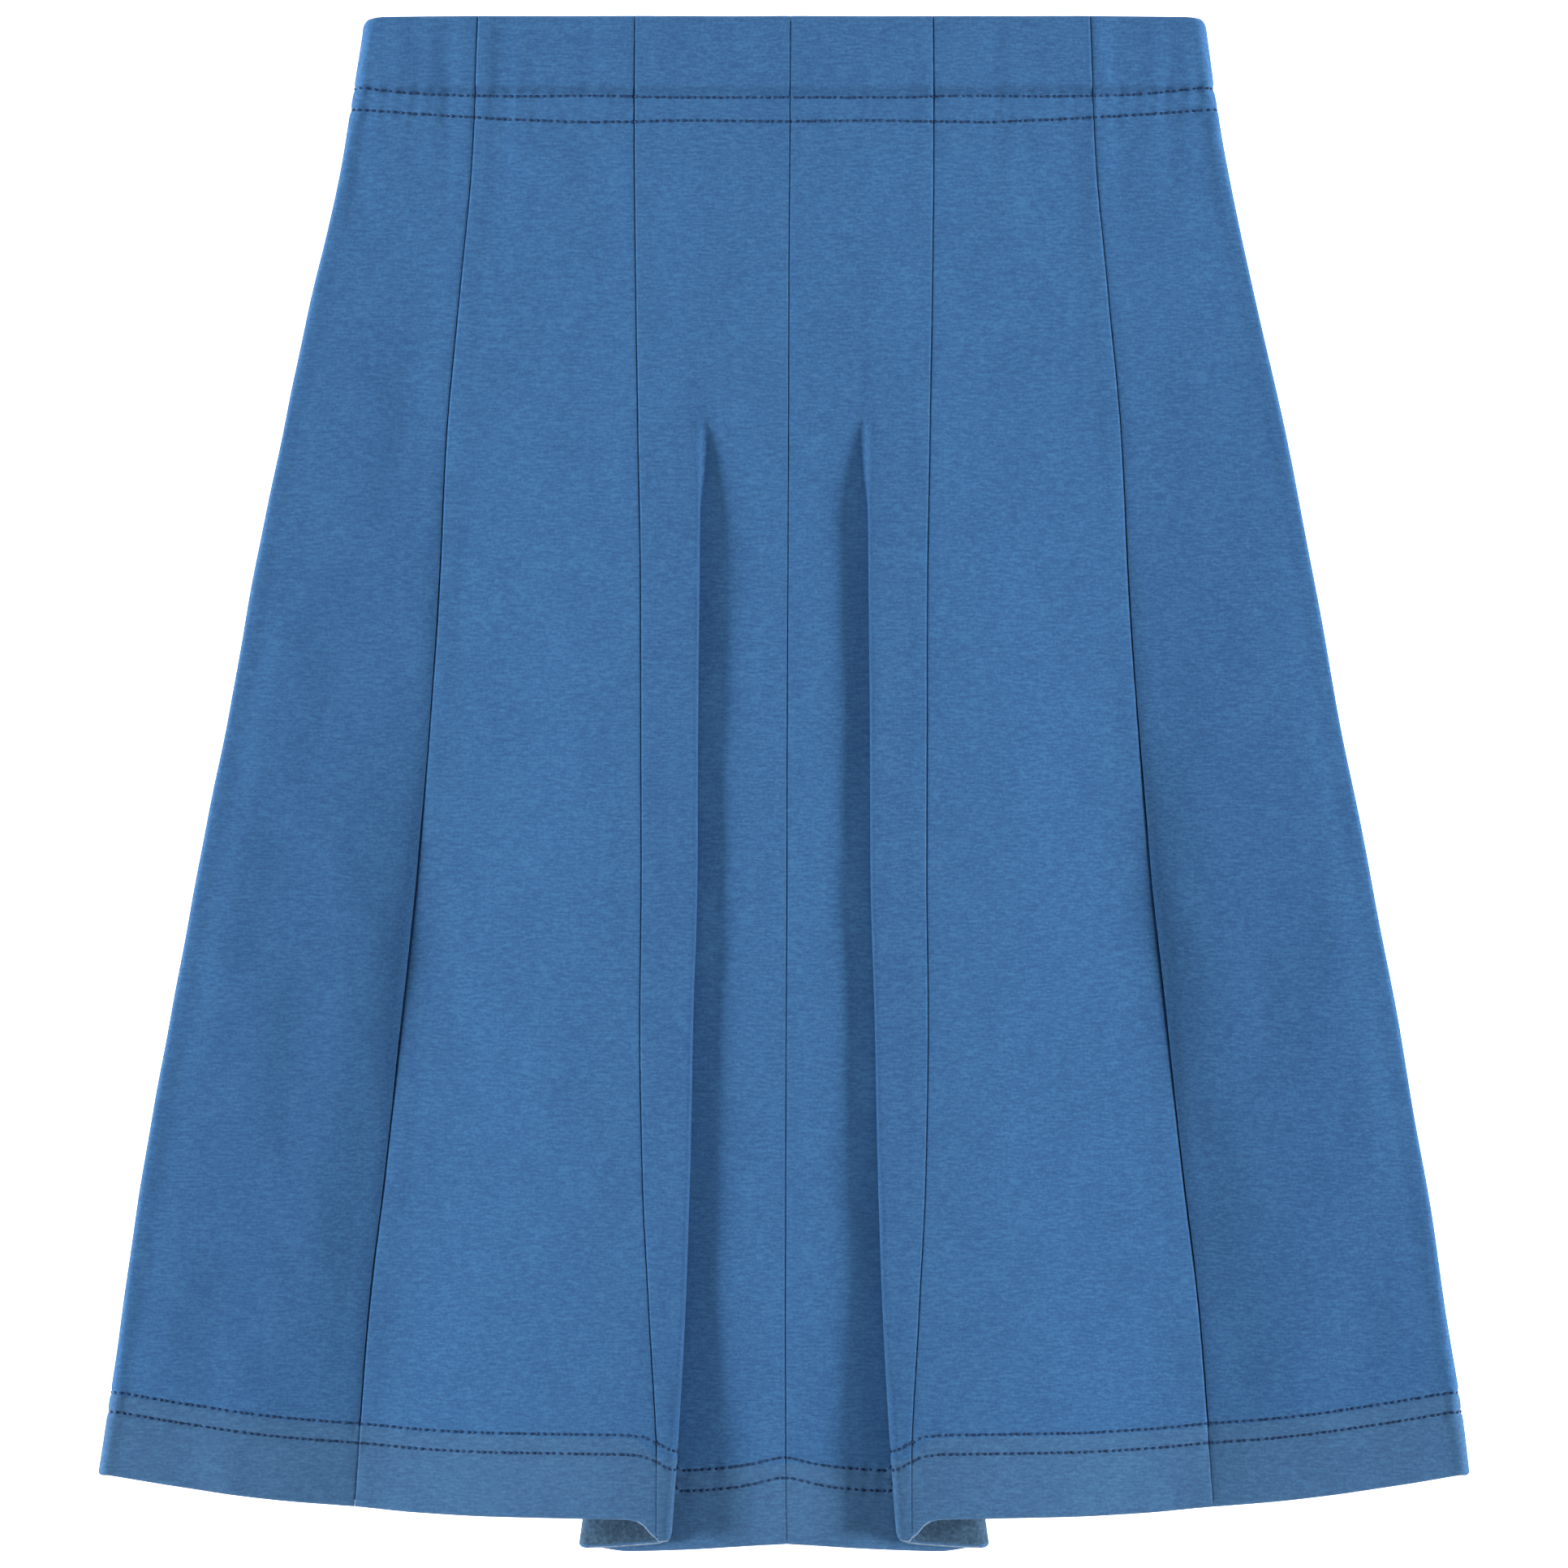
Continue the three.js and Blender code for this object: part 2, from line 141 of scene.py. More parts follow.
def ease(share: Any) -> Any:
    """Eases a share of 0 to 1 in and out, held at its ends."""
    held = np.clip(share, 0.0, 1.0)
    return held * held * (3 - 2 * held)


def mix(start: Any, end: Any, share: Any) -> Any:
    """Mixes two values by a share of 0 to 1."""
    return start + (end - start) * share


def spaced(start: float, end: float, step: float) -> np.ndarray:
    """Even steps from start to end, each as near to the step asked for as fits."""
    return np.linspace(start, end, max(2, int(round(abs(end - start) / step)) + 1))


@dataclass(frozen=True)
class Cloth:
    """How thick the cloth is where it is single, turned up, and turned in over the elastic."""

    single: float = 1.2
    elastic: float = 1.0
    layer_gap: float = 0.6
    seam_gap: float = 0.02

    @property
    def hem(self) -> float:
        """The wall of the turned-up hem."""
        return 2 * self.single

    @property
    def casing(self) -> float:
        """The wall of the casing with its elastic."""
        return self.hem + self.elastic

    def face(self, wall: float) -> float:
        """Height of the front's face where it lies on the back and both have the given wall."""
        return 2 * wall + self.layer_gap


@dataclass
class SkirtShape:
    """The form of the whole skirt: its plan, its layers, its pleat and its folds."""

    cloth: Cloth = field(default_factory=Cloth)
    length: float = 472.4
    hem_row: float = 461.0
    hem_depth: float = 25.0
    elastic_depth: float = 21.0
    upper_row: float = 24.5
    casing_depth: float = 33.0
    step: float = 1.0
    waist_corner: float = 4.0
    plateau_past_fold: float = 4.0
    swell_reach: float = 66.0
    swell_fall: float = 0.8
    edge_share: float = 0.9
    bank_width: float = 3.5
    shoulder_foot: float = 1.5
    shoulder_width: float = 15.0
    shortest_front_turn: float = 3.0
    shortest_hidden_turn: float = 2.0
    shortest_run: float = 0.6

    def __post_init__(self) -> None:
        """Lays out the tables."""
        cloth, hem = self.cloth, self.hem_row
        # Where the outline, the seams and the edge of the fold run, from the photograph.
        self.plan = Table(
            "level side outer_seam inner_seam centre_seam fold_edge",
            (0, 129.1, 94.1, 45.9, 2.0, 22.0),
            (40, 135.2, 95.8, 46.1, 1.8, 23.0),
            (85, 145.0, 99.9, 45.7, 1.5, 24.5),
            (130, 154.7, 104.0, 44.9, 1.4, 25.5),
            (175, 163.4, 106.2, 44.1, 1.2, 26.0),
            (220, 171.7, 109.3, 44.0, 1.0, 26.4),
            (265, 180.1, 113.1, 43.9, 0.9, 26.6),
            (310, 188.5, 117.9, 44.3, 0.7, 27.9),
            (355, 196.7, 122.7, 43.6, 0.5, 28.8),
            (400, 203.5, 128.0, 41.4, 0.4, 30.3),
            (448.5, 210.6, 131.4, 39.0, 0.6, 33.0),
            (472, 214.0, 133.0, 39.2, 0.9, 34.7),
        )
        # The back's seams, which the photograph doesn't show: each gore widens evenly.
        self.back_plan = Table(
            "level outer_seam inner_seam centre_seam",
            (0, 94.1, 45.9, 2.0),
            (hem, 142.0, 71.0, 2.0),
        )
        # The cloth's wall, and the height of the front's face over the table, from waist to hem.
        self.layers = Table(
            "row wall face",
            (0, cloth.casing, cloth.face(cloth.casing)),
            (self.elastic_depth, cloth.casing, cloth.face(cloth.casing)),
            (self.upper_row, cloth.hem, cloth.face(cloth.hem)),
            (self.casing_depth, cloth.hem, cloth.face(cloth.hem)),
            (self.casing_depth + self.step, cloth.single, 5.3),
            (46, cloth.single, 3.9),
            (60, cloth.single, cloth.face(cloth.single)),
            (390, cloth.single, cloth.face(cloth.single)),
            (412, cloth.single, 4.1),
            (hem - self.hem_depth - self.step, cloth.single, cloth.face(cloth.hem)),
            (hem - self.hem_depth, cloth.hem, cloth.face(cloth.hem)),
            (hem, cloth.hem, cloth.face(cloth.hem)),
        )
        # How far the fold has turned in degrees, the radii of its two turns, how far the hidden one
        # reaches, and how high the recess is crowned.
        self.pleat = Table(
            "row turn front_radius hidden_radius hidden_edge crown",
            (60, 0, 1.7, 0.7, 25.0, 0.0),
            (100, 4, 1.7, 0.7, 25.2, 0.0),
            (116, 14, 1.7, 0.7, 25.3, 0.1),
            (130, 60, 1.7, 0.7, 25.5, 0.2),
            (146, 120, 1.7, 0.7, 27.5, 0.3),
            (166, 162, 1.7, 0.7, 29.7, 0.3),
            (195, 180, 1.7, 0.7, 32.9, 0.3),
            (380, 180, 2.0, 0.8, 53.0, 0.4),
            (434, 180, 3.3, 0.8, 58.9, 0.4),
            (hem, 180, 3.8, 0.8, 62.6, 0.3),
        )
        # How high the side gore swells: broadly, and in a steep bank beside its seam.
        self.swell = Table(
            "row height bank",
            (60, 0.0, 0.0),
            (110, 0.9, 0.2),
            (150, 1.9, 0.5),
            (220, 3.2, 1.0),
            (260, 4.2, 2.2),
            (290, 4.8, 2.8),
            (320, 5.2, 1.8),
            (350, 5.2, 0.8),
            (390, 4.8, 0.4),
            (430, 4.0, 0.3),
            (hem, 2.8, 0.2),
        )
        # The level of the hem's edge, on the front outside the pleat.
        self.front_hem = Table(
            "across edge",
            (39.2, 467.0),
            (41.4, 465.2),
            (43.2, 463.0),
            (45.4, 461.9),
            (48, 461.4),
            (90, 461.2),
            (110.4, 460.5),
            (133.4, 458.5),
            (155.6, 456.5),
            (185.6, 452.5),
            (210.6, 448.5),
        )
        # The same round the pleat, with a small curl in the edge of the fold.
        self.pleat_hem = Table(
            "stage edge",
            (Stage.INNER_SEAM, 467.0),
            (Stage.FRONT_TURN, 468.2),
            (Stage.FRONT_TURN + 0.25, 468.2),
            (Stage.FRONT_TURN + 0.5, 466.6),
            (Stage.FRONT_TURN + 0.75, 468.4),
            (Stage.RUN, 469.4),
            (Stage.HIDDEN_TURN, 470.8),
            (Stage.RECESS, 471.0),
            (Stage.RECESS + 0.2, self.length),
            (Stage.RECESS + 0.45, 472.0),
            (Stage.CENTRE_SEAM, 470.1),
        )
        self.back_hem = Table(
            "across edge",
            (0, 463.0),
            (90, 459.3),
            (133, 456.0),
            (170, 452.7),
            (210.6, 448.0),
        )

    def level(self, row: Any, hem_edge: Any) -> Any:
        """Level of a row on a panel whose hem's edge is at the given level."""
        reach = self.hem_row - self.hem_depth - self.step
        return row + (hem_edge - self.hem_row) * ease(row / reach)

    def wall(self, row: Any) -> Any:
        """Wall of the cloth at a row."""
        return self.layers.read("wall", row)

    def face(self, row: Any) -> Any:
        """Height of the face of a front panel that lies on the back."""
        return self.layers.read("face", row)

    def walk(self, row: float, steps: tuple[int, int, int]) -> "PleatWalk":
        """Walks the face round the pleat at a row, from the front turn to the end of the hidden one.

        Args:
            row: The row.
            steps: How many steps the front turn, the run between the turns and the hidden turn take.

        Returns:
            The walk, whose offsets are from the start of the front turn.
        """
        turn = math.radians(float(self.pleat.read("turn", row)))
        front, hidden = (float(self.pleat.read(name, row)) for name in ("front_radius", "hidden_radius"))
        edge = float(self.plan.read("fold_edge", row))
        run = float(self.pleat.read("hidden_edge", row)) - edge - front - hidden - float(self.wall(row))
        stretches = (
            (steps[0], max(front * turn, self.shortest_front_turn), 0.0, turn),
            (steps[1], max(run, self.shortest_run), turn, turn),
            (steps[2], max(hidden * turn, self.shortest_hidden_turn), turn, 0.0),
        )
        stages, inward, drop = [float(Stage.FRONT_TURN)], [0.0], [0.0]
        for index, (count, length, start, end) in enumerate(stretches):
            middles = mix(start, end, (np.arange(count) + 0.5) / count)
            stages.extend(Stage.FRONT_TURN + index + (np.arange(count) + 1) / count)
            inward.extend(inward[-1] + np.cumsum(np.cos(middles)) * length / count)
            drop.extend(drop[-1] + np.cumsum(np.sin(middles)) * length / count)
        reach = max(inward[: 1 + steps[0] + steps[1]])
        return PleatWalk(np.array(stages), np.array(inward), np.array(drop), edge + reach)

    def front_height(self, across: Any, row: Any, level: Any, pleat_height: Any) -> Any:
        """Height of the front's face where one layer of it lies over the pleat and the back.

        Args:
            across: The distance across.
            row: The row.
            level: The level.
            pleat_height: How far the pleat lifts the front at the edge of its fold.

        Returns:
            The height in millimetres.
        """
        over = self.plan.read("fold_edge", level) + self.plateau_past_fold
        seam = self.plan.read("outer_seam", level)
        return self.face(row) + pleat_height * (1 - ease((across - over) / (seam - over)))

    def edge_face(self, row: Any) -> Any:
        """Height of the front's face where it bends down at the side."""
        height, bank = (self.swell.read(name, row) for name in ("height", "bank"))
        return self.face(row) + self.edge_share * (height + bank)

    def side_bend(self, row: Any, layer: Layer) -> Any:
        """Radius of the side's bend: a tight one in the front, and in the back what is left.

        Args:
            row: The row.
            layer: The layer.

        Returns:
            The radius in millimetres.
        """
        gap = self.cloth.seam_gap
        tight = (self.face(row) - gap) / 2
        return tight if layer is Layer.FRONT else self.edge_face(row) - gap - tight

    def side_height(self, outward: Any, share: Any, row: Any) -> Any:
        """Height of a front side gore, which swells up from its seam and sinks again to the side.

        Args:
            outward: The distance from the outer seam.
            share: The share of the way from the seam to the side's bend.
            row: The row.

        Returns:
            The height in millimetres.
        """
        height, bank = (self.swell.read(name, row) for name in ("height", "bank"))
        sink = (1 - self.edge_share) * ease((share - self.swell_fall) / (1 - self.swell_fall))
        broad = 1 - np.clip(1 - outward / self.swell_reach, 0, 1) ** 3
        steep = 1 - np.exp(-outward / self.bank_width)
        return self.face(row) + height * (broad - sink) + bank * (steep - sink)

    def half_width(self, level: Any) -> Any:
        """Half width of the skirt at a level, with the waist's corners rounded.

        Args:
            level: The level.

        Returns:
            Half of the width, in millimetres.
        """
        rest = np.clip(self.waist_corner - level, 0, self.waist_corner)
        corner = self.waist_corner - np.sqrt(self.waist_corner**2 - rest**2)
        return self.plan.read("side", level) - corner


@dataclass
class PleatWalk:
    """The face of the pleat's turns at one row, from the start of the front turn."""

    stages: np.ndarray
    inward: np.ndarray
    drop: np.ndarray
    start: float

    @property
    def height(self) -> float:
        """How far the front's face lies above the recess."""
        return float(self.drop[-1])


@dataclass(frozen=True)
class Crease:
    """A soft trough or ridge that was left in the cloth by hand or by folding.

    It fades in and out over a share of its length at each end.
    """

    across: float
    top: float
    bottom: float
    width: float
    depth: float
    drift: float = 0.0
    fades: float = 3.0

    def lift(self, across: np.ndarray, level: np.ndarray) -> np.ndarray:
        """How far it lifts the face, less than zero in a trough.

        Args:
            across: Each point's distance across.
            level: Each point's level.

        Returns:
            The lift of each point, in millimetres.
        """
        along = (level - self.top) / (self.bottom - self.top)
        middle = self.across + self.drift * (np.clip(along, 0, 1) - 0.5)
        window = ease(along * self.fades) * ease((1 - along) * self.fades)
        return -self.depth * np.exp(-(((across - middle) / self.width) ** 2)) * window


@dataclass(frozen=True)
class Ripple:
    """One long shallow wave in the cloth."""

    height: float
    across: float
    down: float
    phase: float

    def lift(self, across: np.ndarray, level: np.ndarray) -> np.ndarray:
        """How far it lifts the face."""
        turn = 2 * math.pi
        return self.height * np.sin(turn * (across / self.across + level / self.down) + self.phase)


@dataclass(frozen=True)
class TwinRows:
    """Where the two lines of a twin needle run, by the distance across.

    At the casing they are counted down from the waist's edge, and at the hem up from the hem's edge.
    """

    casing: Table = Table(
        "across upper lower",
        (0, 24.9, 32.3),
        (30, 25.0, 32.1),
        (60, 24.5, 32.6),
        (80, 24.7, 31.9),
        (106, 24.3, 30.6),
        (132, 22.4, 28.9),
    )
    hem: Table = Table(
        "across upper lower",
        (0, 26.8, 20.55),
        (2.2, 26.7, 20.5),
        (7.0, 25.8, 19.7),
        (11.1, 25.25, 18.95),
        (17.9, 24.8, 18.4),
        (32.4, 24.6, 18.3),
        (33.0, 27.2, 21.4),
        (33.6, 27.7, 21.9),
        (35.8, 28.5, 22.8),
        (38.2, 29.2, 23.4),
        (40.5, 29.0, 23.0),
        (41.9, 28.0, 21.9),
        (46, 25.9, 20.0),
        (60, 25.8, 19.9),
        (210, 25.6, 19.6),
    )
    back_hem: Table = Table("across upper lower", (0, 25.8, 19.8), (210, 25.6, 19.6))

    def rows(self, shape: SkirtShape, across: np.ndarray, layer: Layer) -> tuple[np.ndarray, ...]:
        """Gives the rows of the shape that the four lines run along.

        Args:
            shape: The form of the skirt.
            across: The distances across at which they are wanted.
            layer: The layer, since the hem's lines aren't the same in both.

        Returns:
            The casing's upper and lower line, and then the hem's.
        """
        hem = self.hem if layer is Layer.FRONT else self.back_hem
        upper, lower = (self.casing.read(name, across) for name in ("upper", "lower"))
        high, low = (shape.hem_row - hem.read(name, across) for name in ("upper", "lower"))
        return upper, lower, high, low


@dataclass(frozen=True)
class Relief:
    """The low forms of the face: rolled seams, sunk stitches, gathers, creases and waves."""

    roll_width: float = 0.85
    roll_depth: float = 0.9
    waist_notch: float = 2.0
    hem_notch: float = 1.2
    allowance_width: float = 6.5
    allowance_edge: float = 2.2
    allowance_height: float = 0.22
    pressed: float = 0.45
    sunk: float = 0.34
    sunk_width: float = 0.95
    pucker: Ripple = Ripple(height=0.19, across=4.7, down=37, phase=0.7)
    pucker_width: float = 2.4
    gather_height: float = 0.16
    gather_edge: float = 6.0
    gather_foot: float = 30.0
    gather_end: float = 82.0
    back_share: float = 0.5
    back_rest: float = 0.1
    twin: TwinRows = TwinRows()
    front_creases: tuple[Crease, ...] = (
        Crease(across=26, top=-10, bottom=158, width=15.0, depth=-1.3, drift=3.0),
        Crease(across=9, top=28, bottom=90, width=4.0, depth=-0.25, drift=6.0),
        Crease(across=58, top=30, bottom=96, width=6.0, depth=0.25, drift=5.0),
        Crease(across=76, top=120, bottom=260, width=9.0, depth=0.3, drift=-6.0),
        Crease(across=150, top=250, bottom=420, width=9.0, depth=0.35, drift=14.0),
        Crease(across=117, top=60, bottom=170, width=6.0, depth=0.3, drift=8.0),
        Crease(across=178, top=380, bottom=470, width=8.0, depth=0.3, drift=6.0),
        Crease(across=13, top=300, bottom=460, width=6.0, depth=0.25, drift=-3.0),
    )
    back_creases: tuple[Crease, ...] = (
        Crease(across=22, top=34, bottom=150, width=6.0, depth=0.35, drift=6.0),
        Crease(across=84, top=60, bottom=240, width=7.0, depth=0.3, drift=12.0),
        Crease(across=128, top=210, bottom=400, width=8.0, depth=0.35, drift=16.0),
        Crease(across=45, top=300, bottom=450, width=7.0, depth=0.3, drift=8.0),
        Crease(across=171, top=330, bottom=440, width=7.0, depth=0.25, drift=8.0),
    )
    ripples: tuple[Ripple, ...] = (
        Ripple(height=0.16, across=61, down=240, phase=0.4),
        Ripple(height=0.12, across=-43, down=151, phase=2.1),
        Ripple(height=0.10, across=173, down=67, phase=4.0),
        Ripple(height=0.06, across=29, down=89, phase=1.3),
        Ripple(height=0.05, across=-23, down=41, phase=5.2),
    )
    gathers: tuple[Ripple, ...] = (
        Ripple(height=0.6, across=13.7, down=900, phase=0.8),
        Ripple(height=0.5, across=8.9, down=-700, phase=2.9),
        Ripple(height=0.4, across=21.3, down=500, phase=4.4),
    )

    def roll(self, distance: np.ndarray) -> np.ndarray:
        """How far the face turns down into a seam at a distance from it."""
        rest = np.clip(1 - distance / self.roll_width, 0, 1)
        return -self.roll_depth * (1 - np.sqrt(1 - rest**2))

    def allowance(self, distance: np.ndarray) -> np.ndarray:
        """How far the seam allowance behind the cloth lifts the face."""
        inside = ease((self.allowance_width - distance) / self.allowance_edge)
        return self.allowance_height * inside

    def stitched(self, row: np.ndarray, lines: Sequence[np.ndarray]) -> np.ndarray:
        """How far the rows of stitches pull the face down."""
        pulls = [np.exp(-(((row - line) / self.sunk_width) ** 2)) for line in lines]
        return -self.sunk * sum(pulls)

    def puckered(
        self, row: np.ndarray, lines: Sequence[np.ndarray], across: np.ndarray, level: np.ndarray
    ) -> np.ndarray:
        """How far the tension of the rows of stitches puckers the cloth beside them."""
        near = [np.exp(-(((row - line) / self.pucker_width) ** 2)) for line in lines]
        return self.pucker.lift(across, level) * sum(near)

    def gathered(self, across: np.ndarray, level: np.ndarray) -> np.ndarray:
        """How far the elastic gathers the waistband and the cloth below it.

        Args:
            across: Each point's distance across.
            level: Each point's level.

        Returns:
            The lift of each point, in millimetres.
        """
        below = ease((self.gather_end - level) / (self.gather_end - self.gather_foot))
        fade = ease(level / self.gather_edge) * below
        waves = sum(wave.lift(across, level) for wave in self.gathers)
        return self.gather_height * fade * waves

    def lift(self, shape: SkirtShape, gore: "Gore", grid: "ClothGrid") -> tuple[np.ndarray, np.ndarray]:
        """How far each point of a gore's face is lifted from its plain form.

        Args:
            shape: The form of the skirt.
            gore: The gore.
            grid: Its face.

        Returns:
            Two lifts in millimetres for each point, towards the side that the face looks to: the one
            that the whole wall follows, and the roll of the face alone into the seams.
        """
        signed, rows = grid.points[..., 0], grid.rows[:, None]
        across = np.abs(signed)
        level = shape.length / 2 - grid.points[..., 1]
        steps = np.linalg.norm(np.diff(grid.points, axis=1), axis=2)
        run = np.concatenate((0 * rows, np.cumsum(steps, axis=1)), axis=1)
        to_seams = (run, run[:, -1:] - run)
        in_hem = ease(rows - (shape.hem_row - shape.hem_depth))
        off_edges = ease(level / self.waist_notch) * ease((rows[-1] - rows) / self.hem_notch)
        rolled = sum(self.roll(distance) * share for distance, share in zip(to_seams, grid.rolls))
        rolled = rolled * mix(1.0, self.pressed, in_hem) * off_edges
        lines = self.twin.rows(shape, across, gore.layer)
        lift = sum(self.allowance(distance) for distance in to_seams)
        lift = lift + self.stitched(rows, lines)
        lift = lift + self.puckered(rows, lines, signed, level)
        lift = lift + self.gathered(signed, level)
        waves = sum(wave.lift(signed, level) for wave in self.ripples)
        if gore.layer is Layer.FRONT:
            creases = sum(crease.lift(across, level) for crease in self.front_creases)
            return lift + (waves + creases) * grid.freedom, rolled
        creases = sum(crease.lift(across, level) for crease in self.back_creases)
        return np.minimum(lift + waves * self.back_share + creases - self.back_rest, 0.0), rolled


@dataclass
class ClothGrid:
    """A gore's cloth as a grid of points, by rows down the skirt and columns across it.

    The points are those of its face. The looks are the directions that its plain face looks in, the
    wrong side lies behind the face, the freedom is the share of the waves and creases that each point
    takes, the rim marks the columns whose hem edge is painted with a pale highlight, and the rolls are
    the shares of a full roll at its first and last seams.
    """

    rows: np.ndarray
    points: np.ndarray
    wall: np.ndarray
    facing: float
    freedom: Any = 1.0
    rim: Optional[np.ndarray] = None
    rolls: tuple[float, float] = (1.0, 1.0)
    level_column: int = 3

    def __post_init__(self) -> None:
        """Works out where the plain face looks, and its wrong side."""
        down = np.gradient(self.points, axis=0)
        along = np.gradient(self.points, axis=1)
        looks = np.cross(along, down)
        looks /= np.linalg.norm(looks, axis=2, keepdims=True)
        # The cloth lies nearly level beside its first seam, so it shows there which way the looks point.
        upward = looks[len(self.rows) // 2, self.level_column, 2]
        self.looks = looks * math.copysign(1.0, upward) * self.facing
        self.wrong_side = self.points - self.looks * self.wall[:, None, None]
        if self.rim is None:
            self.rim = np.zeros(self.points.shape[1], dtype=bool)

    def raise_by(self, lift: np.ndarray, rolled: np.ndarray) -> None:
        """Lifts the whole wall, and the face alone by its roll into the seams."""
        self.points = self.points + self.looks * (lift + rolled)[..., None]
        self.wrong_side = self.wrong_side + self.looks * lift[..., None]

    def across(self, row: float) -> np.ndarray:
        """Distances from the centre line of the face's points at the line nearest to a row."""
        return np.abs(self.points[np.abs(self.rows - row).argmin(), :, 0])

    def at_row(self, rows: np.ndarray) -> tuple[np.ndarray, np.ndarray]:
        """Finds a line across the face.

        Args:
            rows: The row that the line takes in each column.

        Returns:
            The line's points and the directions that the face looks in there.
        """
        columns = np.arange(self.points.shape[1])
        upper = np.clip(np.searchsorted(self.rows, rows) - 1, 0, len(self.rows) - 2)
        share = (rows - self.rows[upper]) / (self.rows[upper + 1] - self.rows[upper])
        share = np.clip(share, 0, 1)[:, None]
        points = mix(self.points[upper, columns], self.points[upper + 1, columns], share)
        looks = mix(self.looks[upper, columns], self.looks[upper + 1, columns], share)
        return points, looks / np.linalg.norm(looks, axis=1, keepdims=True)


@dataclass(frozen=True)
class Cut:
    """The flat cut of what shows of a gore, in millimetres: its widths from seam to seam, unfolded."""

    waist: float
    half_way: float
    hem: float
    length: float

    @property
    def area(self) -> float:
        """The cut's area, which widens smoothly through its three widths."""
        return (self.waist + 4 * self.half_way + self.hem) / 6 * self.length


@dataclass
class Gore(ABC):
    """One gore of the skirt: a panel from one seam to the next, and from waist to hem.

    Its rows lie close together at the waist's edge, at both pairs of stitch lines and at the hem's
    edge. Its columns are spaced for its usual width, and lie close together at both seams.
    """

    shape: SkirtShape
    relief: Relief
    hand: Hand
    layer: Layer
    place: str
    cut: Cut
    row_step: float = 2.0
    fine_row_step: float = 0.45
    waist_edge: float = 6.0
    waist_edge_step: float = 0.8
    casing_stitches: tuple[float, float] = (20.0, 36.0)
    hem_stitches: tuple[float, float] = (28.5, 16.5)
    hem_step: float = 1.5
    hem_edge: float = 3.0
    hem_edge_step: float = 0.6
    usual_width: float = 48.0
    column_step: float = 1.5
    fewest_columns: int = 3
    rim_columns: tuple[float, ...] = (0, 0.12, 0.26, 0.42, 0.6, 0.8, 1.1, 1.6)
    cap_steps: int = 6

    def __post_init__(self) -> None:
        """Names the gore and the solid that it stands for, and lays out its dressed face."""
        side = self.hand.name.lower()
        self.node = f"{self.layer.name.lower()}_{self.place}_{side}"
        self.name = f"{self.node}_cloth"
        self.face = self.grid()
        self.face.raise_by(*self.relief.lift(self.shape, self, self.face))

    def row_stations(self) -> np.ndarray:
        """The rows of the grid, close together where there are stitches or an edge.

        Returns:
            The rows in rising order, from the waist's edge to the hem's.
        """
        shape = self.shape
        first = float(shape.wall(0)) / 2
        last = shape.hem_row - float(shape.wall(shape.hem_row)) / 2
        casing_top, casing_foot = self.casing_stitches
        hem_top, hem_foot = (shape.hem_row - depth for depth in self.hem_stitches)
        bands = (
            (first, self.waist_edge, self.waist_edge_step),
            (self.waist_edge, casing_top, self.row_step),
            (casing_top, casing_foot, self.fine_row_step),
            (casing_foot, hem_top, self.row_step),
            (hem_top, hem_foot, self.fine_row_step),
            (hem_foot, last - self.hem_edge, self.hem_step),
            (last - self.hem_edge, last, self.hem_edge_step),
        )
        return np.unique(np.concatenate([spaced(*band) for band in bands]).round(4))

    def column_shares(self) -> np.ndarray:
        """Shares of the way across, close together at both seams.

        Returns:
            The shares in rising order, from 0 to 1.
        """
        width = self.usual_width
        rim = np.array(self.rim_columns) * self.relief.roll_width / width
        count = max(self.fewest_columns, int(width / self.column_step))
        inner = np.linspace(rim[-1], 1 - rim[-1], count)
        return np.concatenate((rim[:-1], inner, 1 - rim[-2::-1]))

    def laid_out(self, hem: Table, place: Callable[[Any], Any]) -> tuple[np.ndarray, ...]:
        """Lays the rows and columns out on the plan.

        Args:
            hem: The level of the hem's edge by the distance across.
            place: Gives the distances across of the columns at a level.

        Returns:
            The rows as a column of numbers, and each point's level and distance across.
        """
        rows = self.row_stations()[:, None]
        edge = hem.read("edge", place(self.shape.hem_row + 0 * rows))
        level = self.shape.level(rows, edge)
        return rows, level, place(level)

    @abstractmethod
    def grid(self) -> ClothGrid:
        """The gore's plain face, before its relief."""

    def pack(self, rows: np.ndarray, across: np.ndarray, level: np.ndarray, height: np.ndarray) -> ClothGrid:
        """Packs the places of the face's points into a grid."""
        points = np.stack((self.hand.value * across, self.shape.length / 2 - level, height), axis=2)
        return ClothGrid(rows, points, self.shape.wall(rows), self.layer.value)

    def build(self, finishes: dict[Finish, bpy.types.Material]) -> bpy.types.Object:
        """Makes the gore's mesh with its materials, ties it to its body, and hides the solid that it stands
        for.

        Args:
            finishes: The material of each slot.

        Returns:
            The gore's object.
        """
        shell = Shell(self.face, self.cap_steps, self.shape.hem_row - self.shape.hem_depth)
        piece = shell.make(self.name, [finishes[kind] for kind in Finish])
        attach(piece, BODY)
        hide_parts(self.node)
        return piece

    def declare(self, piece: bpy.types.Object, lies_on: Sequence[str], stitches: Sequence[Any]) -> None:
        """Args:
            piece: The gore's object. Not used.
            lies_on: The names of the pieces that it lies on. Not used.
            stitches: The stitches that go with it.
        """
        flat = (max(self.cut.waist, self.cut.hem) * MM, self.cut.length * MM)
        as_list(stitches)


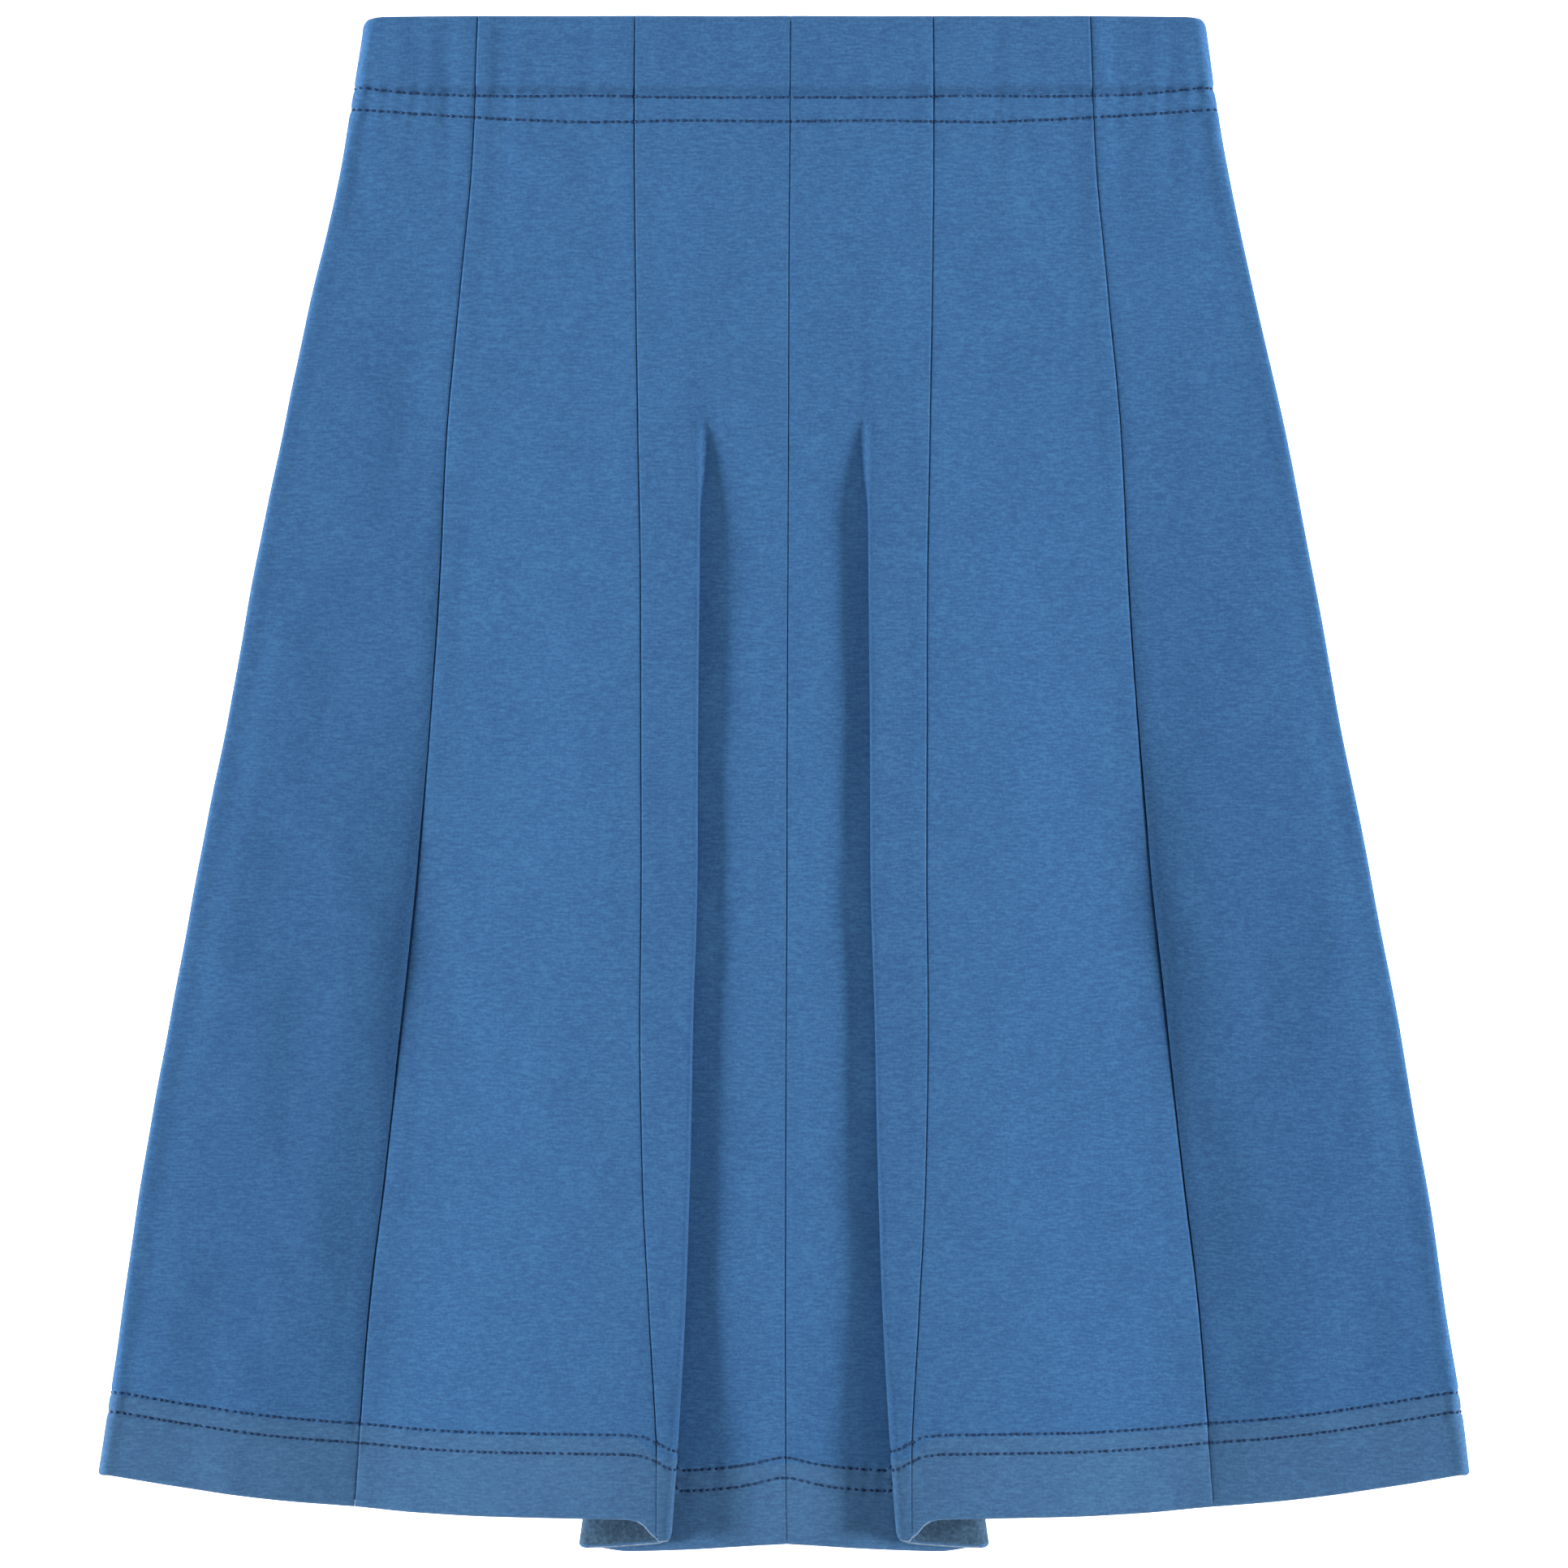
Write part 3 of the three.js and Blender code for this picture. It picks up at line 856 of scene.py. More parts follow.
@dataclass
class CentreGore(Gore):
    """A front gore beside the centre seam, folded under itself to form half of the pleat."""

    usual_width: float = 30.0
    front_columns: int = 15
    front_rim: tuple[float, ...] = (0, 0.012, 0.026, 0.042, 0.06, 0.085, 0.12)
    front_rim_end: float = 0.18
    walk_steps: tuple[int, int, int] = (18, 14, 10)
    recess_columns: int = 40
    recess_rim_start: float = 0.93
    recess_margin: float = 9.0
    free_turn: float = 10.0
    turn_fade: float = 60.0
    fold_fade: float = 0.5

    def grid(self) -> ClothGrid:
        """The face from the inner seam, round the pleat, to the centre seam.

        Returns:
            The grid of the gore's face.
        """
        shape = self.shape
        rows = self.row_stations()
        plain = np.linspace(self.front_rim_end, 1, self.front_columns)[:-1]
        front = np.concatenate((self.front_rim, plain))
        edges = self.column_shares()
        rim = 1 - edges[edges > self.recess_rim_start]
        recess = np.concatenate((np.linspace(0, 1 - rim[0], self.recess_columns)[1:-1], 1 - rim))
        stages = np.concatenate((front, shape.walk(0.0, self.walk_steps).stages, Stage.RECESS + recess))
        faces = [self.face_at(float(row), front, recess, stages) for row in rows]
        across, level, height = (np.array(part) for part in zip(*faces))
        grid = self.pack(rows, across, level, height)
        # Columns from the inner seam round to the end of the hidden turn get the painted highlight along the
        # hem's edge.
        grid.rim = stages <= Stage.HIDDEN_TURN
        grid.freedom = self.freedom(rows, stages, across, level)
        return grid

    def face_at(
        self, row: float, front: np.ndarray, recess: np.ndarray, stages: np.ndarray
    ) -> tuple[np.ndarray, np.ndarray, np.ndarray]:
        """The face at one row.

        Args:
            row: The row.
            front: The shares of the way from the inner seam to the front turn.
            recess: The shares of the way from the hidden turn to the centre seam.
            stages: The stage of every column.

        Returns:
            The distance across, the level and the height of every column.
        """
        shape = self.shape
        walk = shape.walk(row, self.walk_steps)
        level = shape.level(row, shape.pleat_hem.read("edge", stages))
        fold_level = float(shape.level(row, shape.pleat_hem.read("edge", Stage.FRONT_TURN)))
        moved = float(shape.plan.read("fold_edge", fold_level) - shape.plan.read("fold_edge", row))
        start = walk.start + moved
        at_front, at_recess = level[: len(front)], level[-len(recess) :]
        seam = shape.plan.read("inner_seam", at_front) - shape.cloth.seam_gap / 2
        on_front = mix(seam, start, front)
        offset = self.hand.value * shape.plan.read("centre_seam", at_recess)
        on_recess = mix(start - walk.inward[-1], offset + shape.cloth.seam_gap / 2, recess)
        foot = shape.plan.read("fold_edge", at_recess) + shape.shoulder_foot
        rest = 1 - np.clip((foot - np.abs(on_recess)) / shape.shoulder_width, 0, 1)
        crown = float(shape.pleat.read("crown", row)) * (1 - rest**2)
        face = float(shape.face(row))
        heights = (
            shape.front_height(on_front, row, at_front, walk.height),
            face + walk.height - walk.drop,
            face + crown,
        )
        across = np.concatenate((on_front, start - walk.inward, on_recess))
        return across, level, np.concatenate(heights)

    def freedom(
        self, rows: np.ndarray, stages: np.ndarray, across: np.ndarray, level: np.ndarray
    ) -> np.ndarray:
        """Where waves and creases may form: off the pleat, on the front, and in the open recess.

        Args:
            rows: The grid's rows.
            stages: The stage of each column.
            across: Each point's distance across.
            level: Each point's level.

        Returns:
            The share of the waves and creases that each point takes, from 0 to 1.
        """
        turn = self.shape.pleat.read("turn", rows)
        flat = 1 - ease((turn - self.free_turn) / self.turn_fade)[:, None]
        in_fold = ease((stages - Stage.FRONT_TURN) / self.fold_fade)
        folded = np.where(stages <= Stage.RECESS, 1 - in_fold, 0.0)[None, :]
        edge = self.shape.plan.read("fold_edge", level)
        inside = ease((edge - np.abs(across)) / self.recess_margin)
        shown = np.where(stages > Stage.RECESS, inside, 0.0)
        return np.maximum(flat, np.maximum(folded, shown))


@dataclass
class MiddleGore(Gore):
    """A front gore between the inner and outer seams, which sinks from the pleat to its outer seam."""

    usual_width: float = 70.0
    # Columns nearer the centre than this at the hem get the painted highlight along the hem's edge.
    rim_end: float = 46.0
    walk_steps: tuple[int, int, int] = (60, 10, 40)

    def grid(self) -> ClothGrid:
        """The face from the inner seam to the outer seam.

        Returns:
            The grid of the gore's face.
        """
        shape = self.shape
        shares = self.column_shares()[None, :]
        gap = shape.cloth.seam_gap / 2

        def place(level: Any) -> Any:
            """The columns' distances across at a level."""
            inner = shape.plan.read("inner_seam", level) + gap
            return mix(inner, shape.plan.read("outer_seam", level) - gap, shares)

        rows, level, across = self.laid_out(shape.front_hem, place)
        walks = [shape.walk(float(row), self.walk_steps).height for row in rows[:, 0]]
        height = shape.front_height(across, rows, level, np.array(walks)[:, None])
        grid = self.pack(rows[:, 0], across, level, height)
        # Columns near the fold get the painted highlight along the hem's edge.
        grid.rim = across[-1] < self.rim_end
        return grid


@dataclass
class SideGore(Gore):
    """A gore from the outer seam to the side, where it bends to meet the other layer."""

    usual_width: float = 50.0
    bend_start: float = 0.95
    last_columns: tuple[float, ...] = (0.965, 0.98, 1.0)
    bend_columns: int = 8
    side_roll: float = 0.2

    def grid(self) -> ClothGrid:
        """The face from the outer seam to the side seam, half way up the skirt's edge.

        Returns:
            The grid of the gore's face.
        """
        shape = self.shape
        front = self.layer is Layer.FRONT
        plan = shape.plan if front else shape.back_plan
        bend = shape.side_bend(self.row_stations()[:, None], self.layer)
        shares = self.column_shares()
        shares = np.concatenate((shares[shares < self.bend_start], self.last_columns))[None, :]

        def place(level: Any) -> Any:
            """The columns' distances across at a level, up to where the bend starts."""
            seam = plan.read("outer_seam", level) + shape.cloth.seam_gap / 2
            return mix(seam, shape.half_width(level) - bend, shares)

        rows, level, across = self.laid_out(shape.front_hem if front else shape.back_hem, place)
        height = shape.side_height(across - across[:, :1], shares, rows) if front else 0 * across
        angle = np.linspace(0, math.pi / 2, self.bend_columns + 1)[None, 1:]
        around = across[:, -1:] + bend * np.sin(angle)
        bent = height[:, -1:] - self.layer.value * bend * (1 - np.cos(angle))
        across = np.concatenate((across, around), axis=1)
        level = np.concatenate((level, level[:, -1:] + 0 * angle), axis=1)
        height = np.concatenate((height, bent), axis=1)
        grid = self.pack(rows[:, 0], across, level, height)
        grid.rolls = (1.0, self.side_roll)
        return grid


@dataclass
class FlatGore(Gore):
    """A flat gore of the back between two of its seams."""

    inner: str = "inner_seam"
    outer: str = "outer_seam"

    def grid(self) -> ClothGrid:
        """The face, which lies on the surface under the skirt.

        Returns:
            The grid of the gore's face.
        """
        shape = self.shape
        shares = self.column_shares()[None, :]
        gap = shape.cloth.seam_gap / 2
        centred = self.inner == "centre_seam"

        def place(level: Any) -> Any:
            """The columns' distances across at a level."""
            inner = shape.back_plan.read(self.inner, level) * (self.hand.value if centred else 1)
            return mix(inner + gap, shape.back_plan.read(self.outer, level) - gap, shares)

        rows, level, across = self.laid_out(shape.back_hem, place)
        return self.pack(rows[:, 0], across, level, 0 * across)


@dataclass
class Shell:
    """A gore's cloth as a closed wall, with round folded edges at its waist and its hem."""

    cloth: ClothGrid
    cap_steps: int
    hem_top: float

    def make(self, name: str, finishes: Sequence[bpy.types.Material]) -> bpy.types.Object:
        """Makes the wall as one closed mesh.

        Args:
            name: The name of the mesh and its object.
            finishes: The materials, in the order of the finishes' slots.

        Returns:
            The object, linked to the scene.
        """
        count, columns = self.cloth.points.shape[:2]
        loop = [*self.cloth.points, *self.cap(-1), *self.cloth.wrong_side[::-1], *self.cap(0)[::-1]]
        vertices = np.concatenate(loop) * MM
        lines = len(loop)
        column = np.arange(columns - 1)
        quads, slots = [], []
        for line in range(lines):
            here, there = line * columns, ((line + 1) % lines) * columns
            quads.append(np.stack((here + column, here + column + 1, there + column + 1, there + column), 1))
            slots.extend(self.finishes_of(line, count))
        faces = np.concatenate(quads).tolist()
        ends = self.ends(count, columns, lines)
        faces += ends
        slots += [Finish.WRONG_SIDE.value] * len(ends)
        if self.winding(vertices, faces) < 0:
            faces = [quad[::-1] for quad in faces]
        mesh = bpy.data.meshes.new(name)
        mesh.from_pydata(vertices.tolist(), [], faces)
        for finish in finishes:
            mesh.materials.append(finish)
        mesh.polygons.foreach_set("material_index", slots)
        smooth = [True] * (len(faces) - len(ends)) + [False] * len(ends)
        mesh.polygons.foreach_set("use_smooth", smooth)
        mesh.update()
        piece = bpy.data.objects.new(name, mesh)
        bpy.context.scene.collection.objects.link(piece)
        return piece

    def cap(self, end: int) -> np.ndarray:
        """The lines of points that go round the cloth's folded edge, from its face to its wrong side.

        Args:
            end: The face's row at that edge: 0 for the waist, and -1 for the hem.

        Returns:
            The lines of points between the face and the wrong side.
        """
        cloth = self.cloth
        before = 1 if end == 0 else -2
        look = cloth.looks[end]
        outward = cloth.points[end] - cloth.points[before]
        outward = outward - look * np.sum(outward * look, axis=1, keepdims=True)
        outward *= float(cloth.wall[end]) / 2 / np.linalg.norm(outward, axis=1, keepdims=True)
        middle = (cloth.points[end] + cloth.wrong_side[end]) / 2
        half = (cloth.points[end] - cloth.wrong_side[end]) / 2
        angles = np.linspace(0, math.pi, self.cap_steps + 1)[1:-1, None, None]
        return middle + half * np.cos(angles) + outward * np.sin(angles)

    def finishes_of(self, line: int, count: int) -> list[int]:
        """The finish of each quad between a line of the loop and the next.

        Args:
            line: The line, counted down the face from the waist and on round the wall.
            count: How many lines of points the face has.

        Returns:
            The slot of each quad's material.
        """
        strips = len(self.cloth.rim) - 1
        hem_end, waist_start = count + self.cap_steps - 2, 2 * count + self.cap_steps - 2
        if hem_end < line < waist_start:
            return [Finish.WRONG_SIDE.value] * strips
        if count - 1 <= line <= hem_end:
            outermost = count <= line < hem_end
            # On the rim's columns the outermost quads round the hem's fold get the painted highlight; the
            # rest take the hem band's painted paler tone.
            both = self.cloth.rim[:-1] & self.cloth.rim[1:] & outermost
            return np.where(both, Finish.FOLDED_EDGE.value, Finish.PAINTED_PALE_HEM_FACE.value).tolist()
        # Rows in the hem band take its painted paler tone.
        in_hem = line < count and self.cloth.rows[line] >= self.hem_top
        return [(Finish.PAINTED_PALE_HEM_FACE if in_hem else Finish.FACE).value] * strips

    def ends(self, count: int, columns: int, lines: int) -> list[list[int]]:
        """The faces that close the wall at its two seams.

        Args:
            count: How many lines of points the face has.
            columns: How many columns it has.
            lines: How many lines go round the whole wall.

        Returns:
            The faces, each as the numbers of its vertices.
        """
        caps = self.cap_steps - 1
        ends = []
        for column, turned in ((0, False), (columns - 1, True)):
            faces = []
            for row in range(count - 1):
                across = 2 * count + caps - 1 - row
                faces.append([row, across, across - 1, row + 1])
            faces.append(list(range(count - 1, count + caps + 1))[::-1])
            faces.append([0, *range(lines - 1, 2 * count + caps - 2, -1)][::-1])
            for face in faces:
                ring = [line * columns + column for line in face]
                ends.append(ring[::-1] if turned else ring)
        return ends

    @staticmethod
    def winding(vertices: np.ndarray, faces: Sequence[Sequence[int]]) -> float:
        """Tells which way the faces look, by the volume that those with four corners enclose.

        Args:
            vertices: The mesh's points.
            faces: Its faces, each as the numbers of its vertices.

        Returns:
            A number above zero where they look outwards, and below zero where they look inwards.
        """
        volume = 0.0
        quads = np.array([face for face in faces if len(face) == 4])
        a, b, c, d = (vertices[quads[:, corner]] for corner in range(4))
        for second, third in ((b, c), (c, d)):
            volume += float(np.sum(a * np.cross(second, third)))
        return volume


@dataclass(frozen=True)
class Bead:
    """The form of one stitch: a short round-ended length of thread, pulled into the cloth."""

    length: float
    width: float
    height: float
    sides: int = 6
    rings: int = 3
    bluntness: float = 0.6

    def template(self) -> tuple[np.ndarray, list[list[int]]]:
        """Points and faces of one stitch along X, with Z away from the cloth.

        Returns:
            The points, and the faces as the numbers of their points.
        """
        points = [(-self.length / 2, 0.0, 0.0)]
        for ring in range(1, self.rings + 1):
            angle = math.pi * ring / (self.rings + 1)
            along, girth = -math.cos(angle) * self.length / 2, math.sin(angle) ** self.bluntness
            for side in range(self.sides):
                turn = 2 * math.pi * side / self.sides
                beside = math.cos(turn) * girth * self.width / 2
                points.append((along, beside, math.sin(turn) * girth * self.height / 2))
        points.append((self.length / 2, 0.0, 0.0))
        last = len(points) - 1
        faces = []
        for side in range(self.sides):
            on = (side + 1) % self.sides
            faces.append([0, 1 + on, 1 + side])
            for ring in range(self.rings - 1):
                low, high = 1 + ring * self.sides, 1 + (ring + 1) * self.sides
                faces.append([low + side, low + on, high + on, high + side])
            top = 1 + (self.rings - 1) * self.sides
            faces.append([top + side, top + on, last])
        return np.array(points), faces


@dataclass
class StitchLine:
    """Stitches along one line on the cloth."""

    bead: Bead
    pitch: float
    depth: float
    spread: float = 0.08

    def place(
        self, points: np.ndarray, looks: np.ndarray, chance: np.random.Generator
    ) -> Iterator[tuple[np.ndarray, np.ndarray]]:
        """Places stitches along a line.

        Args:
            points: The line's points.
            looks: The direction that the face looks in at each of them.
            chance: The source of the small differences between stitches.

        Yields:
            Each stitch's middle, and its three axes as the rows of a matrix.
        """
        steps = np.linalg.norm(np.diff(points, axis=0), axis=1)
        run = np.concatenate(([0.0], np.cumsum(steps)))
        at = self.pitch / 2
        while at < run[-1]:
            middle, before, after = (
                np.array([np.interp(place, run, points[:, axis]) for axis in range(3)])
                for place in (at, at - self.pitch / 2, at + self.pitch / 2)
            )
            look = np.array([np.interp(at, run, looks[:, axis]) for axis in range(3)])
            along = after - before
            turn = chance.normal(0, self.spread)
            beside = np.cross(look, along)
            along = along / np.linalg.norm(along) + turn * beside / np.linalg.norm(beside)
            along /= np.linalg.norm(along)
            look = look - along * float(look @ along)
            look /= np.linalg.norm(look)
            beside = np.cross(look, along)
            scale = 1 + chance.normal(0, self.spread)
            yield middle - look * self.depth, np.array([along * scale, beside, look])
            at += self.pitch * (1 + chance.normal(0, self.spread))


@dataclass
class Stitching:
    """All the stitches of one kind, as one joined mesh."""

    name: str
    line: StitchLine
    seed: int
    lines: list[tuple[np.ndarray, np.ndarray]] = field(default_factory=list)

    def add(self, points: np.ndarray, looks: np.ndarray) -> None:
        """Adds a line to be stitched."""
        self.lines.append((points, looks))

    def build(self, thread: bpy.types.Material) -> bpy.types.Object:
        """Makes the joined mesh of every stitch.

        Args:
            thread: The thread's material.

        Returns:
            The stitches' object.
        """
        chance = np.random.default_rng(self.seed)
        form, form_faces = self.line.bead.template()
        vertices: list[np.ndarray] = []
        faces: list[list[int]] = []
        for points, looks in self.lines:
            for middle, axes in self.line.place(points, looks, chance):
                base = len(vertices) * len(form)
                vertices.append(middle + form @ axes)
                faces += [[base + index for index in face] for face in form_faces]
        mesh = bpy.data.meshes.new(self.name)
        mesh.from_pydata((np.concatenate(vertices) * MM).tolist(), [], faces)
        mesh.materials.append(thread)
        mesh.polygons.foreach_set("use_smooth", [True] * len(faces))
        mesh.update()
        piece = bpy.data.objects.new(self.name, mesh)
        bpy.context.scene.collection.objects.link(piece)
        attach(piece, BODY)
        return piece


@dataclass
class Sewing:
    """The skirt's stitches: twin-needle rows at casing and hem, and the thread in its seams."""

    shape: SkirtShape
    twin: TwinRows
    top_stitch: StitchLine = field(
        default_factory=lambda: StitchLine(
            Bead(length=1.45, width=0.95, height=0.6), pitch=2.08, depth=-0.05, spread=0.11
        )
    )
    seam_stitch: StitchLine = field(
        default_factory=lambda: StitchLine(
            Bead(length=3.2, width=0.55, height=0.5, sides=5), pitch=2.9, depth=0.3, spread=0.05
        )
    )
    top_seed: int = 11
    seam_seed: int = 23

    def build(self, gores: Sequence[Gore], thread: bpy.types.Material) -> dict[Layer, list[bpy.types.Object]]:
        """Makes the stitches of both layers.

        Args:
            gores: The gores, with their faces made.
            thread: The thread's material.

        Returns:
            The stitches' objects, by the layer that they are in.
        """
        pieces: dict[Layer, list[bpy.types.Object]] = {}
        for index, layer in enumerate(Layer):
            name = layer.name.lower()
            rows = Stitching(f"{name}_twin_needle_rows", self.top_stitch, self.top_seed + index)
            seams = Stitching(f"{name}_seam_thread", self.seam_stitch, self.seam_seed + index)
            for gore in (gore for gore in gores if gore.layer is layer):
                for line in self.lines_on(gore):
                    rows.add(*gore.face.at_row(line))
                for column in self.sewn_columns(gore):
                    seams.add(gore.face.points[:, column], gore.face.looks[:, column])
            pieces[layer] = [rows.build(thread), seams.build(thread)]
        return pieces

    def lines_on(self, gore: Gore) -> tuple[np.ndarray, ...]:
        """The rows that the twin needle's four lines take on a gore's face.

        Args:
            gore: The gore.

        Returns:
            For each line, its row in every column: the casing's two lines, and then the hem's.
        """
        shape = self.shape
        at_casing = gore.face.across(shape.casing_depth)
        at_hem = gore.face.across(shape.hem_row - shape.hem_depth)
        casing = self.twin.rows(shape, at_casing, gore.layer)[:2]
        hem = self.twin.rows(shape, at_hem, gore.layer)[2:]
        return (*casing, *hem)

    @staticmethod
    def sewn_columns(gore: Gore) -> list[int]:
        """The columns of a gore's face that its seams are sewn along.

        Args:
            gore: The gore.

        Returns:
            The columns' numbers.
        """
        if gore.place != "centre":
            return [0]
        sewn_at_centre = gore.hand is Hand.RIGHT
        if gore.layer is Layer.FRONT:
            return [0, -1] if sewn_at_centre else [0]
        return [0] if sewn_at_centre else []


def linear(hex_colour: str) -> tuple[float, float, float, float]:
    """Turns an sRGB hex colour into the linear colour that a shader takes.

    Args:
        hex_colour: The colour, such as "#3f709f".

    Returns:
        Its linear red, green, blue and alpha.
    """
    parts = [int(hex_colour[start : start + 2], 16) / 255 for start in (1, 3, 5)]
    low = [part / 12.92 if part <= 0.04045 else ((part + 0.055) / 1.055) ** 2.4 for part in parts]
    return (*low, 1.0)


def add_node(
    tree: bpy.types.NodeTree,
    kind: str,
    settings: Optional[dict[str, Any]] = None,
    inputs: Optional[dict[Any, Any]] = None,
    stops: Sequence[tuple[float, str]] = (),
) -> bpy.types.Node:
    """Adds a node with its settings and its links.

    Args:
        tree: The material's node tree.
        kind: The node's Blender type.
        settings: The node's own settings, by name.
        inputs: Its inputs, by name or number: a value, or the socket that feeds it.
        stops: A colour ramp's stops in rising order, each a place from 0 to 1 and an sRGB hex colour.

    Returns:
        The node.
    """
    node = tree.nodes.new(kind)
    for name, value in (settings or {}).items():
        setattr(node, name, value)
    for name, value in (inputs or {}).items():
        if isinstance(value, bpy.types.NodeSocket):
            tree.links.new(value, node.inputs[name])
        else:
            node.inputs[name].default_value = value
    if stops:
        elements = node.color_ramp.elements
        while len(elements) < len(stops):
            elements.new(0.5)
        for element, (place, colour) in zip(elements, stops):
            element.position = place
            element.color = linear(colour)
    return node


def blank_material(name: str) -> bpy.types.Material:
    """Makes a material that has no nodes yet.

    Args:
        name: The material's name.

    Returns:
        The material.
    """
    material = bpy.data.materials.new(name)
    material.use_nodes = True
    material.node_tree.nodes.clear()
    return material


@dataclass(frozen=True)
class SweatJersey:
    """Cotton sweat jersey, knitted smooth and lightly brushed: matt, with a soft pale nap."""

    name: str
    deep: str
    middle: str
    light: str
    roughness: float
    sheen: float
    sheen_tint: str
    course: float
    streak: float
    crumb: float
    mottle: float
    relief: float
    crumb_share: float = 0.42
    mottle_share: float = 0.1
    stops: tuple[float, float, float] = (0.38, 0.5, 0.62)

    def make(self) -> bpy.types.Material:
        """Makes the material.

        Returns:
            The material. Streaks run along the courses of the knit, as on the real cloth, and the
            courses are drawn coarser than their 0.4 mm so that they still show in the render.
        """
        material = blank_material(self.name)
        tree = material.node_tree
        place = add_node(tree, "ShaderNodeTexCoord").outputs["Object"]
        # Each pattern's size along X, Y and Z, and how many finer layers it has.
        patterns = (
            ((self.streak, self.course, self.course), 3.0),
            ((self.crumb, self.crumb, self.crumb), 2.0),
            ((self.mottle, self.mottle * 1.6, self.mottle), 1.0),
        )
        grains = []
        for size, detail in patterns:
            scale = tuple(1 / (length * MM) for length in size)
            mapped = add_node(tree, "ShaderNodeMapping", inputs={"Vector": place, "Scale": scale})
            inputs = {"Vector": mapped.outputs["Vector"], "Scale": 1.0, "Detail": detail, "Roughness": 0.55}
            grains.append(add_node(tree, "ShaderNodeTexNoise", inputs=inputs).outputs["Fac"])
        streaks, crumb, mottle = grains
        numbers = {"data_type": "FLOAT"}
        inputs = {"Factor": self.crumb_share, "A": streaks, "B": crumb}
        fine = add_node(tree, "ShaderNodeMix", numbers, inputs).outputs["Result"]
        inputs = {"Factor": self.mottle_share, "A": fine, "B": mottle}
        tone = add_node(tree, "ShaderNodeMix", numbers, inputs).outputs["Result"]
        stops = tuple(zip(self.stops, (self.deep, self.middle, self.light)))
        ramp = add_node(tree, "ShaderNodeValToRGB", inputs={"Fac": tone}, stops=stops)
        bump = add_node(
            tree, "ShaderNodeBump", inputs={"Strength": 0.55, "Distance": self.relief * MM, "Height": fine}
        ).outputs["Normal"]
        shader = add_node(
            tree,
            "ShaderNodeBsdfPrincipled",
            inputs={
                "Base Color": ramp.outputs["Color"],
                "Roughness": self.roughness,
                "IOR": 1.5,
                "Specular IOR Level": 0.25,
                "Sheen Weight": self.sheen,
                "Sheen Roughness": 0.45,
                "Sheen Tint": linear(self.sheen_tint),
                "Normal": bump,
            },
        )
        add_node(tree, "ShaderNodeOutputMaterial", inputs={"Surface": shader.outputs["BSDF"]})
        return material


@dataclass(frozen=True)
class SewingThread:
    """Spun polyester thread, dyed darker than the cloth: a fine dull twist."""

    name: str = "spun_polyester_thread"
    dark: str = "#0a2648"
    light: str = "#184270"
    twist: float = 0.5

    def make(self) -> bpy.types.Material:
        """Makes the material, whose twist gives the eye a slight flicker along each stitch.

        Returns:
            The material.
        """
        material = blank_material(self.name)
        tree = material.node_tree
        place = add_node(tree, "ShaderNodeTexCoord").outputs["Object"]
        scale = (1 / (self.twist * MM),) * 3
        mapped = add_node(tree, "ShaderNodeMapping", inputs={"Vector": place, "Scale": scale})
        inputs = {"Vector": mapped.outputs["Vector"], "Scale": 1.0, "Detail": 1.0, "Roughness": 0.55}
        twist = add_node(tree, "ShaderNodeTexNoise", inputs=inputs).outputs["Fac"]
        stops = ((0.35, self.dark), (0.65, self.light))
        ramp = add_node(tree, "ShaderNodeValToRGB", inputs={"Fac": twist}, stops=stops)
        inputs = {"Strength": 0.4, "Distance": 0.05 * MM, "Height": twist}
        bump = add_node(tree, "ShaderNodeBump", inputs=inputs)
        shader = add_node(
            tree,
            "ShaderNodeBsdfPrincipled",
            inputs={
                "Base Color": ramp.outputs["Color"],
                "Roughness": 0.6,
                "IOR": 1.54,
                "Specular IOR Level": 0.3,
                "Normal": bump.outputs["Normal"],
            },
        )
        add_node(tree, "ShaderNodeOutputMaterial", inputs={"Surface": shader.outputs["BSDF"]})
        return material


@dataclass(frozen=True)
class PaleTable:
    """A white acrylic table top with a soft light under it, so that no shadow greys the ground."""

    name: str = "white_acrylic"
    colour: str = "#f7f7f7"
    glow: float = 0.92

    def make(self) -> bpy.types.Material:
        """Makes the material.

        Returns:
            The material.
        """
        material = blank_material(self.name)
        tree = material.node_tree
        shader = add_node(
            tree,
            "ShaderNodeBsdfPrincipled",
            inputs={
                "Base Color": linear(self.colour),
                "Roughness": 0.8,
                "IOR": 1.49,
                "Specular IOR Level": 0.2,
                "Emission Color": linear(self.colour),
                "Emission Strength": self.glow,
            },
        )
        add_node(tree, "ShaderNodeOutputMaterial", inputs={"Surface": shader.outputs["BSDF"]})
        return material


@dataclass(frozen=True)
class Softbox:
    """A rectangular light with a fabric grid, which keeps its light within a spread."""

    name: str
    place: tuple[float, float, float]
    aim: tuple[float, float, float]
    width: float
    depth: float
    power: float
    spread: float = 180.0

    def build(self) -> None:
        """Makes the light and turns it to its aim, with its width along Y."""
        data = bpy.data.lights.new(self.name, "AREA")
        data.shape = "RECTANGLE"
        data.size = self.width
        data.size_y = self.depth
        data.energy = self.power
        data.spread = math.radians(self.spread)
        lamp = bpy.data.objects.new(self.name, data)
        lamp.location = self.place
        away = Vector(self.aim) - Vector(self.place)
        lamp.rotation_euler = away.to_track_quat("-Z", "Y").to_euler()
        bpy.context.scene.collection.objects.link(lamp)


